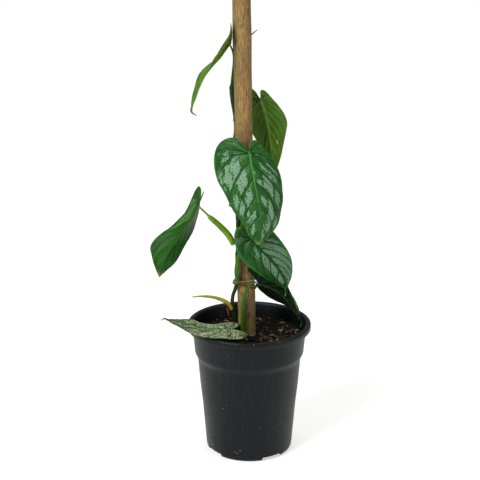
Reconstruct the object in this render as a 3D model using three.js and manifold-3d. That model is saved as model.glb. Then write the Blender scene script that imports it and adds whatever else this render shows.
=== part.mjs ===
// Potted silver leaf philodendron: a climbing aroid tied to a wooden stake in a round nursery pot.
// Millimetres, +Z up, front towards -Y. The pot's axis is the build axis; the group is centred at the end.
import * as THREE from "three";
import { mergeVertices } from "three/addons/utils/BufferGeometryUtils.js";
import Module from "manifold-3d";

const wasm = await Module();
wasm.setup();

// Driving dimensions
const fitGap = 0.3;
const holeGap = 0.36;
const potHeight = 152;
const rimRadius = 70;
const rimDrop = 7;
const lipThickness = 1.5;
const collarTopRadius = 64.4;
const collarFootRadius = 62.2;
const collarFootHeight = 118;
const shoulderFootHeight = 109;
const wallTopRadius = 58.7;
const wallMidRadius = 53.6;
const wallMidHeight = 55;
const wallFootRadius = 49.7;
const wallThickness = 1.5;
const floorHeight = 5;
const potSectors = 48;
const notchCount = 4;
const notchFirstAngle = 33.5;
const notchHalfAngle = 16;
const notchHeight = 4.6;
const drainHalfAngle = 7;

const soilHeight = 137;
const soilRelief = 1.3;
const soilRings = 7;
const chipCount = 32;
const chipLength = 11;
const rootDepth = 15;

const stakeRadius = 10;
const stakeFoot = new THREE.Vector3(-1.5, 0, 60);
const stakeTop = new THREE.Vector3(-9.5, 0, 540);
const stakeSides = 20;
const stakeRings = 20;
const stakeBevel = 1;

const bladeThickness = 0.8;
const outlineSteps = 22;
const bladeSteps = 3;
const fanShare = 0.33;
const limbSides = 8;
const stemSteps = 2;
const stalkSteps = 3;

const tieRadius = 0.7;
const tieSlack = 0.5;
const tieStemSlack = 1;
const tieHeight = 204;
const tieSteps = 26;
const twineRadius = 0.8;
const twineHeight = 202.1;
const twineDrop = 13;
const twineLevelShare = 0.3;
const footTieSlack = 0.7;
const footTieStart = -75;
const footTieSpan = 42;
const footTieSteps = 6;

// Small helpers
function vector(xyz) {
  return new THREE.Vector3(xyz[0], xyz[1], xyz[2]);
}

function seededRandom(seed) {
  let state = seed;
  return () => {
    state = (state * 1664525 + 1013904223) % 4294967296;
    return state / 4294967296;
  };
}

// A smooth line through points, as a three.js curve
function lineThrough(points) {
  return new THREE.CatmullRomCurve3(points.map(vector), false, "catmullrom", 0.5);
}

// Value at share u of a list of evenly spaced knots, each a number or a list of numbers
function atShare(knots, u) {
  const place = Math.min(Math.max(u, 0), 1) * (knots.length - 1);
  const low = Math.min(Math.floor(place), knots.length - 2);
  const mix = place - low;
  return knots[low].map((value, i) => value * (1 - mix) + knots[low + 1][i] * mix);
}

// Merged, indexed geometry with no empty triangles and its faces outwards
function closedBody(geometry) {
  const bare = geometry.clone();
  bare.deleteAttribute("normal");
  bare.deleteAttribute("uv");
  const merged = mergeVertices(bare, 1e-4);
  const position = merged.getAttribute("position");
  const index = merged.getIndex().array;
  const faces = [];
  const a = new THREE.Vector3();
  const b = new THREE.Vector3();
  const c = new THREE.Vector3();
  let volume = 0;
  for (let i = 0; i < index.length; i += 3) {
    const corners = [index[i], index[i + 1], index[i + 2]];
    if (new Set(corners).size === 3) {
      faces.push(corners);
      a.fromBufferAttribute(position, corners[0]);
      b.fromBufferAttribute(position, corners[1]);
      c.fromBufferAttribute(position, corners[2]);
      volume += a.dot(b.cross(c));
    }
  }
  const turned = volume < 0 ? faces.map(([p, q, r]) => [p, r, q]) : faces;
  merged.setIndex(turned.flat());
  return merged;
}

function toManifold(geometry) {
  const body = closedBody(geometry);
  const vertProperties = new Float32Array(body.getAttribute("position").array);
  const triVerts = new Uint32Array(body.getIndex().array);
  return new wasm.Manifold(new wasm.Mesh({ numProp: 3, vertProperties, triVerts }));
}

function fromManifold(solid) {
  const mesh = solid.getMesh();
  const geometry = new THREE.BufferGeometry();
  geometry.setAttribute("position", new THREE.BufferAttribute(new Float32Array(mesh.vertProperties), 3));
  geometry.setIndex(Array.from(mesh.triVerts));
  return geometry;
}

// Turned shape about the Z axis from [radius, height] pairs
function turned(profile, sectors) {
  const geometry = new THREE.LatheGeometry(profile.map(([r, z]) => new THREE.Vector2(r, z)), sectors);
  return geometry.rotateX(Math.PI / 2);
}

// Upright ring sector between two radii and two heights, about an angle from the front
function ringSector(inner, outer, low, high, angle, halfAngle) {
  const middle = THREE.MathUtils.degToRad(angle - 90);
  const half = THREE.MathUtils.degToRad(halfAngle);
  const shape = new THREE.Shape();
  shape.absarc(0, 0, outer, middle - half, middle + half, false);
  shape.absarc(0, 0, inner, middle + half, middle - half, true);
  shape.closePath();
  const options = { depth: high - low, bevelEnabled: false, curveSegments: 6 };
  return new THREE.ExtrudeGeometry(shape, options).translate(0, 0, low);
}

// Rings of a limb: a tapering round rod along stations of [x, y, z, radius]
function limbRings(stations, stepsPerStation, sides) {
  const path = lineThrough(stations);
  const girth = lineThrough(stations.map((station) => [station[3], 0, 0]));
  const count = (stations.length - 1) * stepsPerStation;
  const rings = [];
  let across = null;
  for (let i = 0; i <= count; i += 1) {
    const t = i / count;
    const centre = path.getPoint(t);
    const along = path.getTangent(t);
    const sideways = Math.abs(along.x) < 0.8 ? new THREE.Vector3(1, 0, 0) : new THREE.Vector3(0, 1, 0);
    const seed = across ?? sideways;
    across = seed.clone().addScaledVector(along, -seed.dot(along)).normalize();
    const side = along.clone().cross(across);
    const radius = girth.getPoint(t).x;
    const ring = [];
    for (let k = 0; k < sides; k += 1) {
      const angle = (k / sides) * 2 * Math.PI;
      const spoke = across.clone().multiplyScalar(Math.cos(angle)).addScaledVector(side, Math.sin(angle));
      ring.push(centre.clone().addScaledVector(spoke, radius));
    }
    rings.push({ centre, along, radius, ring });
  }
  return rings;
}

// Closed skin over rings of points, with a point at each end
function skinOverRings(startPoint, rings, endPoint) {
  const sides = rings[0].length;
  const points = [startPoint, ...rings.flat(), endPoint];
  const last = points.length - 1;
  const at = (i, k) => 1 + i * sides + (k % sides);
  const faces = [];
  for (let k = 0; k < sides; k += 1) {
    faces.push([0, at(0, k + 1), at(0, k)]);
    faces.push([last, at(rings.length - 1, k), at(rings.length - 1, k + 1)]);
    for (let i = 0; i < rings.length - 1; i += 1) {
      faces.push([at(i, k), at(i, k + 1), at(i + 1, k)]);
      faces.push([at(i, k + 1), at(i + 1, k + 1), at(i + 1, k)]);
    }
  }
  return fromFaces(points, faces);
}

function fromFaces(points, faces) {
  const geometry = new THREE.BufferGeometry();
  const numbers = new Float32Array(points.flatMap((point) => [point.x, point.y, point.z]));
  geometry.setAttribute("position", new THREE.BufferAttribute(numbers, 3));
  geometry.setIndex(faces.flat());
  return closedBody(geometry);
}

// Limb with slightly domed ends; extra widens and lengthens it, as for a hole around it
function limb(stations, extra, stepsPerStation) {
  const widened = stations.map(([x, y, z, radius]) => [x, y, z, radius + extra]);
  const rings = limbRings(widened, stepsPerStation, limbSides);
  const first = rings[0];
  const last = rings[rings.length - 1];
  first.ring.forEach((point) => point.addScaledVector(first.along, -extra));
  last.ring.forEach((point) => point.addScaledVector(last.along, extra));
  const startPoint = first.centre.clone().addScaledVector(first.along, -first.radius * 0.4 - extra);
  const endPoint = last.centre.clone().addScaledVector(last.along, last.radius * 0.4 + extra);
  return skinOverRings(startPoint, rings.map((entry) => entry.ring), endPoint);
}

// Leaf blade. The midrib is a line in space from the notch at the base to the tip. Each half's margin is
// a list of [along, across] in the flat leaf, from the notch around the lobe to the tip. Bends are
// [angle at the midrib, further bend over 40 mm] in degrees, from base to tip, upwards positive.
function makeBladeSurface(plan) {
  const path = lineThrough(plan.midrib);
  const length = path.getLength();
  const facing = plan.facing.map((xyz) => vector(xyz).normalize().toArray());
  const tangentShare = 0.04;

  function frameAt(u) {
    const share = Math.min(Math.max(u, 0), 1);
    const ahead = path.getPointAt(Math.min(share + tangentShare, 1));
    const behind = path.getPointAt(Math.max(share - tangentShare, 0));
    const along = ahead.sub(behind).normalize();
    const up = vector(atShare(facing, share));
    up.addScaledVector(along, -up.dot(along)).normalize();
    return { along, up, across: up.clone().cross(along) };
  }

  function midribPoint(u, frame) {
    if (u >= 0) {
      return path.getPointAt(Math.min(u, 1));
    }
    const back = -u * length;
    const lift = (plan.lobeLift * back * back) / length;
    return path.getPointAt(0).addScaledVector(frame.along, -back).addScaledVector(frame.up, lift);
  }

  return {
    length,
    point(along, across, half) {
      const u = along / length;
      const frame = frameAt(u);
      const [fold, curl] = atShare(half < 0 ? plan.leftBend : plan.rightBend, u);
      const slices = 6;
      let out = 0;
      let rise = 0;
      for (let i = 0; i < slices; i += 1) {
        const angle = THREE.MathUtils.degToRad(fold + (curl * (i + 0.5) * across) / slices / 40);
        out += (across / slices) * Math.cos(angle);
        rise += (across / slices) * Math.sin(angle);
      }
      const point = midribPoint(u, frame);
      return point.addScaledVector(frame.across, out * half).addScaledVector(frame.up, rise);
    },
  };
}

function blade(plan) {
  const surface = makeBladeSurface(plan);
  const points = [];
  const keys = new Map();
  const grid = {};

  function addPoint(point) {
    const key = point.toArray().map((value) => value.toFixed(3)).join(" ");
    if (!keys.has(key)) {
      keys.set(key, points.length);
      points.push(point);
    }
    return keys.get(key);
  }

  for (const half of [-1, 1]) {
    const margin = half < 0 ? plan.left : plan.right;
    const outline = lineThrough([[0, 0], ...margin, [surface.length, 0]].map(([a, c]) => [a, c, 0]));
    const edge = outline.getSpacedPoints(outlineSteps);
    grid[half] = edge.map((edgePoint, i) => {
      const turn = i / outlineSteps;
      const root = Math.max(0, (turn - fanShare) / (1 - fanShare)) ** 1.1 * surface.length;
      const row = [];
      for (let j = 0; j <= bladeSteps; j += 1) {
        const s = j / bladeSteps;
        const along = root + (edgePoint.x - root) * s ** 1.2;
        row.push(addPoint(surface.point(along, edgePoint.y * s, half)));
      }
      return row;
    });
  }

  const faces = [];
  for (const half of [-1, 1]) {
    for (let i = 0; i < outlineSteps; i += 1) {
      for (let j = 0; j < bladeSteps; j += 1) {
        const near = grid[half][i];
        const far = grid[half][i + 1];
        const pair = [
          [near[j], near[j + 1], far[j]],
          [near[j + 1], far[j + 1], far[j]],
        ];
        for (const face of pair) {
          if (new Set(face).size === 3) {
            faces.push(half > 0 ? face : [face[0], face[2], face[1]]);
          }
        }
      }
    }
  }
  const leftEdge = grid[-1].map((row) => row[bladeSteps]);
  const rightEdge = grid[1].map((row) => row[bladeSteps]);
  const rim = [...leftEdge, ...rightEdge.slice(1, -1).reverse()];
  return thickened(points, faces, rim, bladeThickness);
}

// A sheet given a thickness, the same triangles on both faces
function thickened(points, faces, rim, thickness) {
  const normals = points.map(() => new THREE.Vector3());
  for (const [a, b, c] of faces) {
    const normal = points[b].clone().sub(points[a]).cross(points[c].clone().sub(points[a]));
    normals[a].add(normal);
    normals[b].add(normal);
    normals[c].add(normal);
  }
  normals.forEach((normal) => normal.normalize());
  const upper = points.map((point, i) => point.clone().addScaledVector(normals[i], thickness / 2));
  const lower = points.map((point, i) => point.clone().addScaledVector(normals[i], -thickness / 2));
  const count = points.length;
  const all = [...faces, ...faces.map(([a, b, c]) => [a + count, c + count, b + count])];
  const directed = new Set(faces.flatMap(([a, b, c]) => [`${a} ${b}`, `${b} ${c}`, `${c} ${a}`]));
  rim.forEach((start, i) => {
    const end = rim[(i + 1) % rim.length];
    const [from, to] = directed.has(`${start} ${end}`) ? [start, end] : [end, start];
    all.push([to, from, to + count]);
    all.push([from, from + count, to + count]);
  });
  return fromFaces([...upper, ...lower], all);
}

// Leaf plans, counted from the top of the plant. Left and right are as the upper face is looked at with
// the tip down.
const leafPlans = {
  // Top left, seen from its edge and twisted, with a drip tip
  leaf_1: {
    midrib: [
      [-21.5, 5, 467],
      [-27.5, 3, 459],
      [-33, 1, 451.5],
      [-41, -1, 443],
      [-49.5, -2, 431.5],
      [-57, -2, 416.5],
      [-63, -1, 396],
      [-57.5, 0, 389],
    ],
    facing: [
      [-0.75, 0.085, 0.6],
      [-0.8, 0.03, 0.5],
      [-0.87, -0.16, 0.42],
      [-0.92, -0.28, 0.39],
      [-0.9, -0.2, 0.4],
    ],
    left: [
      [-6, 6],
      [-11, 11],
      [-15, 17],
      [-11, 22],
      [0, 24],
      [15, 23.5],
      [32, 21.5],
      [50, 17.5],
      [65, 11],
      [77, 4],
      [83, 0.9],
    ],
    right: [
      [-6, 6],
      [-12, 11],
      [-16, 16],
      [-12, 21.5],
      [0, 24],
      [15, 23.5],
      [32, 21.5],
      [50, 17],
      [65, 10],
      [77, 4],
      [83, 0.9],
    ],
    leftBend: [
      [3, 0],
      [3, 0],
      [5, 0],
      [2, 0],
      [0, 0],
    ],
    rightBend: [
      [11, 0],
      [11, 0],
      [9, 0],
      [5, 0],
      [0, 0],
    ],
    lobeLift: 3,
  },
  // Back right, behind the stake, its underside to the front
  leaf_2: {
    midrib: [
      [12.5, 20, 402],
      [16.5, 23, 389],
      [20, 25, 373],
      [22.5, 25, 357],
      [25, 23, 340.5],
      [28.5, 18, 321],
    ],
    facing: [
      [0.1, 1, 0.2],
      [0, 1, 0.05],
      [0, 1, -0.1],
    ],
    left: [
      [-5, 1.5],
      [-11, 2.5],
      [-10.5, 6],
      [-5, 9.5],
      [4, 13],
      [13, 17],
      [22, 21],
      [32, 23],
      [42, 20],
      [54, 15],
      [64, 11],
      [74, 6],
    ],
    right: [
      [-5, 2],
      [-12, 3.5],
      [-16, 8],
      [-14, 14],
      [-6, 19],
      [6, 22],
      [20, 23],
      [34, 21],
      [44, 16.5],
      [54, 11.5],
      [66, 7],
      [76, 4],
    ],
    leftBend: [
      [15, 20],
      [15, 20],
      [10, 20],
    ],
    rightBend: [
      [15, 20],
      [15, 20],
      [10, 20],
    ],
    lobeLift: 0.3,
  },
  // The large front leaf
  leaf_3: {
    midrib: [
      [-0.5, -29, 353.5],
      [3.5, -37, 332.5],
      [7.5, -41, 311.5],
      [11.5, -41, 286],
      [8, -37, 254.5],
    ],
    facing: [
      [-0.05, -1, 0.3],
      [0, -1, 0.1],
      [0.05, -1, -0.05],
    ],
    left: [
      [-6, 1.5],
      [-18, 9],
      [-22, 18],
      [-20, 30],
      [-12, 39],
      [2, 44],
      [20, 43],
      [34, 38],
      [50, 33],
      [69, 27],
      [84, 17],
      [95, 7],
    ],
    right: [
      [-6, 1.5],
      [-13, 5],
      [-14, 10],
      [-8, 16],
      [2, 24],
      [14, 32],
      [28, 37],
      [42, 38],
      [57, 35],
      [69, 27],
      [80, 23],
      [90, 15],
      [98, 8],
    ],
    leftBend: [
      [-6, -30],
      [-8, -25],
      [-8, -25],
    ],
    rightBend: [
      [-16, -45],
      [-22, -40],
      [-16, -30],
    ],
    lobeLift: -0.3,
  },
  // Front lower right, with a drip tip
  leaf_4: {
    midrib: [
      [3, -26, 257.5],
      [6.2, -27.9, 253.4],
      [11.9, -30.1, 247.1],
      [18.2, -31.5, 241.2],
      [24.4, -32.2, 234.9],
      [29.9, -32.3, 227.8],
      [34.1, -31.6, 221.1],
      [38.5, -29.8, 211.8],
      [39.9, -28, 204.3],
      [39.5, -26, 191.5],
    ],
    facing: [
      [-0.1, -1, 0.3],
      [0, -1, 0.3],
      [0.1, -1, 0.2],
    ],
    left: [
      [-8, 0.5],
      [-15.7, 0.6],
      [-20, 5.5],
      [-16.4, 12.3],
      [-9.5, 17.2],
      [-1.5, 20.5],
      [9, 22.9],
      [23.2, 22.9],
      [35.6, 22.4],
      [46.1, 20.7],
      [55, 17.6],
      [63.8, 13.6],
      [68.1, 7],
      [72.2, 0.9],
    ],
    right: [
      [-6.7, 4.3],
      [-10.6, 10.7],
      [-6.8, 18],
      [-0.3, 22.3],
      [9, 24.4],
      [19.2, 24.5],
      [28, 23.5],
      [38.4, 21.5],
      [45.5, 19.3],
      [52.9, 15.2],
      [59.2, 10.2],
      [65, 4.3],
      [72, 0.7],
    ],
    leftBend: [
      [4, -10],
      [-6, -25],
      [-14, -35],
      [-22, -40],
      [-30, -30],
    ],
    rightBend: [
      [-10, -20],
      [-14, -25],
      [-15, -30],
      [-15, -25],
    ],
    lobeLift: 0.5,
  },
  // Left, hanging from a long stalk, folded at the top, its underside to the front
  leaf_5: {
    midrib: [
      [-56.5, -12, 291.5],
      [-64.5, -9, 274.5],
      [-76, -6, 256.5],
      [-87.5, -5, 240],
      [-96.5, -6, 222.5],
      [-101, -9, 208],
    ],
    facing: [
      [0, 1, 0.2],
      [0, 1, 0.1],
      [0, 1, 0],
    ],
    left: [
      [-5, 2],
      [-11, 6],
      [-14, 12],
      [-8, 20],
      [2, 23],
      [14, 23],
      [25, 22],
      [36, 22],
      [46, 19],
      [56, 16.5],
      [67, 14.5],
      [77, 11.5],
      [87, 6],
    ],
    right: [
      [-5, 2],
      [-11, 5],
      [-15, 12],
      [-14, 20],
      [-5, 24],
      [8, 22],
      [24, 20],
      [40, 20],
      [54, 21.5],
      [64, 22.5],
      [71, 21],
      [78, 15],
      [86, 8],
    ],
    leftBend: [
      [84, 0],
      [66, 0],
      [46, 0],
      [18, 0],
      [5, 0],
    ],
    rightBend: [
      [74, 0],
      [70, 0],
      [53, 0],
      [14, 0],
      [5, 0],
    ],
    lobeLift: 0,
  },
  // Lower right, behind leaf 4, its far margin rolled over to the front, with a drip tip
  leaf_6: {
    midrib: [
      [10, -14, 202],
      [17.5, -12, 199],
      [24, -9, 195.5],
      [33, -6, 189],
      [42, -5, 179.5],
      [50.5, -7, 167],
      [56.5, -9, 159],
      [59, -9, 154],
      [58, -9, 148.5],
    ],
    facing: [
      [0.2, 0.95, 0.15],
      [0.1, 0.85, 0.35],
      [0.1, 0.9, 0.2],
    ],
    left: [
      [-6, 5],
      [-13, 9],
      [-19, 13],
      [-16, 18],
      [-6, 21],
      [6, 21],
      [18, 20],
      [30, 19],
      [42, 17],
      [52, 12],
      [60, 5],
      [67, 0.9],
    ],
    right: [
      [-3, 1],
      [0, 4.5],
      [7, 9.5],
      [17, 13.5],
      [27, 17],
      [36, 17],
      [44, 13.5],
      [52, 9],
      [60, 4],
      [67, 0.9],
    ],
    leftBend: [
      [8, -10],
      [5, -60],
      [25, -260],
      [25, -380],
      [10, -200],
    ],
    rightBend: [
      [10, 0],
      [10, 0],
      [25, 0],
      [60, 0],
      [60, 0],
    ],
    lobeLift: 0,
  },
  // Bottom left, lying over the rim, with a curled tip
  leaf_7: {
    midrib: [
      [-27.5, -28, 153.3],
      [-44, -29.5, 154],
      [-61, -27.5, 156.5],
      [-77.5, -23, 159.5],
      [-92.5, -19.5, 161.5],
      [-95, -19.5, 162.5],
      [-99.5, -21.5, 161.5],
    ],
    facing: [
      [-0.05, 0, 1],
      [-0.1, 0, 1],
      [0.2, 0, 1],
    ],
    left: [
      [-7, 1.3],
      [-13, 5],
      [-17, 12],
      [-15, 19],
      [-9, 21.5],
      [5, 19],
      [17, 15.5],
      [28, 13],
      [42, 13.5],
      [50, 11],
      [58, 5.5],
      [67, 0.9],
    ],
    right: [
      [-8, 1.3],
      [-14, 3.5],
      [-20, 8],
      [-23, 17],
      [-19, 27],
      [-11, 31.5],
      [-4, 31.5],
      [10, 28],
      [20, 25.5],
      [30, 22.5],
      [41, 17],
      [53, 12],
      [62, 5],
      [67, 0.9],
    ],
    leftBend: [
      [0, 0],
      [2, 0],
      [4, 0],
    ],
    rightBend: [
      [0, 0],
      [0, 0],
      [2, 0],
      [0, 0],
    ],
    lobeLift: 0,
  },
};

// Stems and stalks: stations of [x, y, z, radius]
const mainStem = [
  [-16.5, -1, soilHeight - rootDepth, 2.6],
  [-16.5, -2, 151, 2.7],
  [-17.7, -3.6, 165, 2.4],
  [-19.3, -5, 177, 2.2],
  [-18.4, -6, 186, 2.1],
  [-15.9, -8, 194, 2.2],
  [-14, -10.1, 203.5, 2.4],
  [-13.6, -11, 215, 2.4],
  [-13, -11.5, 233, 2.9],
  [-12.5, -12.5, 247, 2.6],
  [-12, -13.5, 265, 3.1],
  [-13.5, -13, 284, 2.4],
  [-17.5, -10, 307, 2.3],
  [-20, -2, 330, 2.3],
  [-18, 7, 352, 2.3],
  [-15, 12, 370, 2.4],
  [-15.5, 11.5, 386, 2.6],
  [-18.5, 9, 404, 2.4],
  [-19, 8, 417, 2.9],
  [-16.5, 10.8, 430, 2.3],
  [-14, 12.3, 445, 2],
  [-13, 12.5, 466, 1.7],
  [-12, 12.5, 480, 1],
];

const stalks = {
  petiole_1: [
    [-19.4, 5, 424, 1.4],
    [-18.3, 6.8, 434, 1.4],
    [-17.3, 8, 446, 1.25],
    [-17.8, 7.6, 456, 1.1],
    [-21, 5.6, 464.4, 0.9],
  ],
  petiole_2: [
    [-9.5, 14, 384, 2],
    [-3, 15, 391, 1.6],
    [4, 17, 396, 1.4],
    [10.5, 18.5, 401, 1.3],
  ],
  petiole_3: [
    [-8.5, -17.5, 269, 2.2],
    [-5.5, -17, 293, 1.8],
    [-2, -19, 322, 1.6],
    [-0.5, -21.5, 344, 1.5],
    [-0.5, -24, 353.5, 1.4],
    [-0.5, -27, 354, 1.2],
  ],
  petiole_4: [
    [-13.9, -16, 206.2, 2.2],
    [-13.8, -17, 219, 3],
    [-12.6, -17.5, 232, 2.5],
    [-9.5, -18.8, 242.5, 1.9],
    [-4.5, -21, 251, 1.6],
    [0.5, -23.5, 256, 1.3],
  ],
  petiole_5: [
    [-17.8, -15.5, 249, 3.1],
    [-23.5, -14.5, 259, 3.5],
    [-33.5, -14, 270, 3.2],
    [-42.5, -13.5, 278, 2.8],
    [-46, -13, 281.5, 1.3],
    [-51, -13, 286.5, 1.1],
    [-55.5, -13, 291, 1.1],
  ],
  petiole_6: [
    [-7, -14.5, soilHeight - rootDepth, 2.7],
    [-7.2, -14.8, 145, 2.8],
    [-7.3, -15, 168, 2.8],
    [-6.4, -15.2, 178, 2.6],
    [-6.2, -15.4, 185.8, 2.3],
    [-4.8, -15.7, 191.2, 1.9],
    [-2.5, -16, 196, 1.6],
    [0.4, -16, 200.1, 1.4],
    [3, -16, 203.2, 1.2],
    [5.8, -15.9, 204.6, 1],
    [8, -16, 203.8, 0.85],
  ],
  petiole_7: [
    [-21.5, -10, soilHeight - rootDepth, 2],
    [-22.5, -12.5, 135, 1.8],
    [-25, -20, 146, 1.5],
    [-27, -26, 150.6, 1.2],
  ],
  new_shoot: [
    [-19.7, -9, 170.2, 2.1],
    [-23.9, -9, 177, 2.3],
    [-32.2, -9.5, 182, 2.1],
    [-42, -10, 185, 1.7],
    [-53.5, -10, 185.9, 1.1],
    [-64.5, -9, 184.7, 0.5],
  ],
  red_scale: [
    [-25.3, -11, 173.4, 0.9],
    [-24.3, -11, 169, 1.2],
    [-22.9, -11, 162.7, 0.7],
  ],
  upper_root: [
    [-9.5, 12.8, 466, 0.9],
    [-4, 13.5, 469, 0.8],
    [2, 12.5, 475, 0.7],
    [7.5, 11, 480, 0.5],
  ],
  root_stub: [
    [-18.6, -13.8, 291.8, 1.1],
    [-20.5, -13.5, 291.5, 1.1],
    [-22.6, -13, 293.3, 0.9],
  ],
};

// Ties: closed loops around the stake and the stem, and a short arc at the soil
const tiedStemPoint = mainStem[6];

function stakeCentre(height) {
  const share = (height - stakeFoot.z) / (stakeTop.z - stakeFoot.z);
  return stakeFoot.clone().lerp(stakeTop, share);
}

// Taut loop around the stake and the stem beside it: level at its left, then falling at a rate of drop
// over its whole width
function tieLoop(height, drop, radius) {
  const post = { centre: stakeCentre(height), reach: stakeRadius + tieSlack + radius };
  const stem = { centre: vector(tiedStemPoint), reach: tiedStemPoint[3] + tieStemSlack + radius };
  const points = [];
  let before = null;
  for (let i = 0; i <= tieSteps; i += 1) {
    const angle = (i / tieSteps) * 2 * Math.PI;
    const outward = new THREE.Vector3(Math.cos(angle), Math.sin(angle), 0);
    const [postOut, stemOut] = [post, stem].map((round) => round.centre.dot(outward) + round.reach);
    const held = postOut > stemOut ? post : stem;
    const point = held.centre.clone().addScaledVector(outward, held.reach);
    if (before && before.held !== held) {
      points.push(before.point.clone().lerp(point, 1 / 3), before.point.clone().lerp(point, 2 / 3));
    }
    if (i < tieSteps) {
      points.push(point);
    }
    before = { held, point };
  }
  const xs = points.map((point) => point.x);
  const [left, right] = [Math.min(...xs), Math.max(...xs)];
  return points.map(({ x, y }) => {
    const share = Math.max(0, (x - left) / (right - left) - twineLevelShare);
    return [x, y, height - drop * share];
  });
}

function roundSection(radius, sides) {
  const shape = new THREE.Shape();
  for (let k = 0; k < sides; k += 1) {
    const angle = (k / sides) * 2 * Math.PI;
    if (k === 0) {
      shape.moveTo(radius, 0);
    } else {
      shape.lineTo(radius * Math.cos(angle), radius * Math.sin(angle));
    }
  }
  shape.closePath();
  return shape;
}

// Loose end of a tie lying on the soil beside the stake's foot
function footArc(radius) {
  const centre = stakeCentre(soilHeight);
  const points = [];
  for (let i = 0; i <= footTieSteps; i += 1) {
    const angle = THREE.MathUtils.degToRad(footTieStart + (footTieSpan * i) / footTieSteps);
    const reach = stakeRadius + footTieSlack + radius;
    const x = centre.x + reach * Math.cos(angle);
    const y = reach * Math.sin(angle);
    points.push([x, y, soilSurface(x, y) + tieSlack + radius]);
  }
  return points;
}

function wireAlong(points, radius, closed) {
  const path = new THREE.CatmullRomCurve3(points.map(vector), closed, "centripetal");
  const options = { steps: points.length + 6, bevelEnabled: false, extrudePath: path };
  return closedBody(new THREE.ExtrudeGeometry(roundSection(radius, 6), options));
}

// Pot: turned wall with a rolled lip, base notches and drain slots
function pot() {
  const inset = wallThickness;
  const lipFoot = potHeight - rimDrop;
  const profile = [
    [0, floorHeight],
    [38, floorHeight],
    [41, 0],
    [46, 0],
    [48.6, 1.6],
    [wallFootRadius, 6],
    [wallMidRadius, wallMidHeight],
    [56.4, 80],
    [wallTopRadius, shoulderFootHeight],
    [60.2, 113.5],
    [collarFootRadius, collarFootHeight],
    [collarTopRadius, lipFoot - 2],
    [collarTopRadius + 0.7, potHeight - lipThickness],
    [rimRadius - lipThickness, potHeight - lipThickness],
    [rimRadius - lipThickness, lipFoot],
    [rimRadius, lipFoot],
    [rimRadius, potHeight - 1.6],
    [rimRadius - 1.2, potHeight],
    [collarTopRadius + 1.2, potHeight],
    [collarTopRadius - 0.4, potHeight - 1.6],
    [collarTopRadius - inset, lipFoot - 2],
    [collarFootRadius - inset, collarFootHeight + 0.6],
    [58.6, 114],
    [wallTopRadius - inset, shoulderFootHeight],
    [56.4 - inset, 80],
    [wallMidRadius - inset, wallMidHeight],
    [wallFootRadius - inset, floorHeight + 4],
    [46, floorHeight + inset],
    [0, floorHeight + inset],
  ];
  let solid = toManifold(turned(profile, potSectors));
  for (let i = 0; i < notchCount; i += 1) {
    const angle = notchFirstAngle + (i * 360) / notchCount;
    const notch = ringSector(34, 56, -2, notchHeight, angle, notchHalfAngle);
    const drain = ringSector(33, 43, -2, floorHeight + 4, angle, drainHalfAngle);
    solid = solid.subtract(toManifold(notch)).subtract(toManifold(drain));
  }
  return fromManifold(solid);
}

// Soil: fills the pot, its top raised by a formula, with seeded bark chips fused in and holes for stems
function soilSurface(x, y) {
  const lumps = Math.sin(x * 0.21 + 1) * Math.cos(y * 0.17) + 0.6 * Math.sin(x * 0.43 + y * 0.37);
  const rise = 0.5 * Math.exp(-(x * x + y * y) / 900);
  return soilHeight + soilRelief * 0.6 * lumps + rise;
}

function soilBody() {
  const clear = wallThickness + fitGap;
  const soilRadius = collarFootRadius + (collarTopRadius - collarFootRadius) * 0.7 - clear;
  const top = [];
  for (let i = 0; i <= soilRings; i += 1) {
    top.push([(soilRadius * i) / soilRings, soilHeight]);
  }
  const profile = [
    ...top,
    [collarFootRadius - clear, collarFootHeight + 1],
    [58.6 - clear, 113.5],
    [wallTopRadius - clear, shoulderFootHeight],
    [wallMidRadius - clear, wallMidHeight],
    [wallFootRadius - clear, floorHeight + 6],
    [45, floorHeight + wallThickness + fitGap],
    [0, floorHeight + wallThickness + fitGap],
  ];
  const body = closedBody(turned(profile, potSectors));
  const position = body.getAttribute("position");
  for (let i = 0; i < position.count; i += 1) {
    if (position.getZ(i) > soilHeight - 0.01) {
      position.setZ(i, soilSurface(position.getX(i), position.getY(i)));
    }
  }
  return body;
}

function barkChip(random) {
  const size = chipLength * (0.5 + 0.7 * random());
  const chip = new THREE.BoxGeometry(size, size * (0.3 + 0.25 * random()), 2.4 + 1.6 * random());
  const bevel = chip.getAttribute("position");
  for (let i = 0; i < bevel.count; i += 1) {
    const taper = bevel.getX(i) > 0 ? 0.65 : 1;
    bevel.setY(i, bevel.getY(i) * taper);
  }
  chip.rotateY((random() - 0.5) * 0.5);
  chip.rotateX((random() - 0.5) * 0.6);
  chip.rotateZ(random() * 2 * Math.PI);
  const reach = 54 * Math.sqrt(random());
  const angle = random() * 2 * Math.PI;
  const x = reach * Math.cos(angle);
  const y = reach * Math.sin(angle);
  return chip.translate(x, y, soilSurface(x, y) + 0.2);
}

function soil() {
  const random = seededRandom(11);
  let solid = toManifold(soilBody());
  for (let i = 0; i < chipCount; i += 1) {
    solid = solid.add(toManifold(barkChip(random)));
  }
  solid = solid.subtract(toManifold(stake(fitGap)));
  solid = solid.subtract(toManifold(limb(mainStem, holeGap, stemSteps)));
  for (const stations of [stalks.petiole_6, stalks.petiole_7]) {
    solid = solid.subtract(toManifold(limb(stations, holeGap, stalkSteps)));
  }
  return fromManifold(solid);
}

function bevelRing(end, inward, reach) {
  const ring = [];
  for (let k = 0; k < stakeSides; k += 1) {
    const angle = (k / stakeSides) * 2 * Math.PI;
    ring.push(new THREE.Vector3(end.x + reach * Math.cos(angle), reach * Math.sin(angle), end.z + inward));
  }
  return ring;
}

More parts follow.
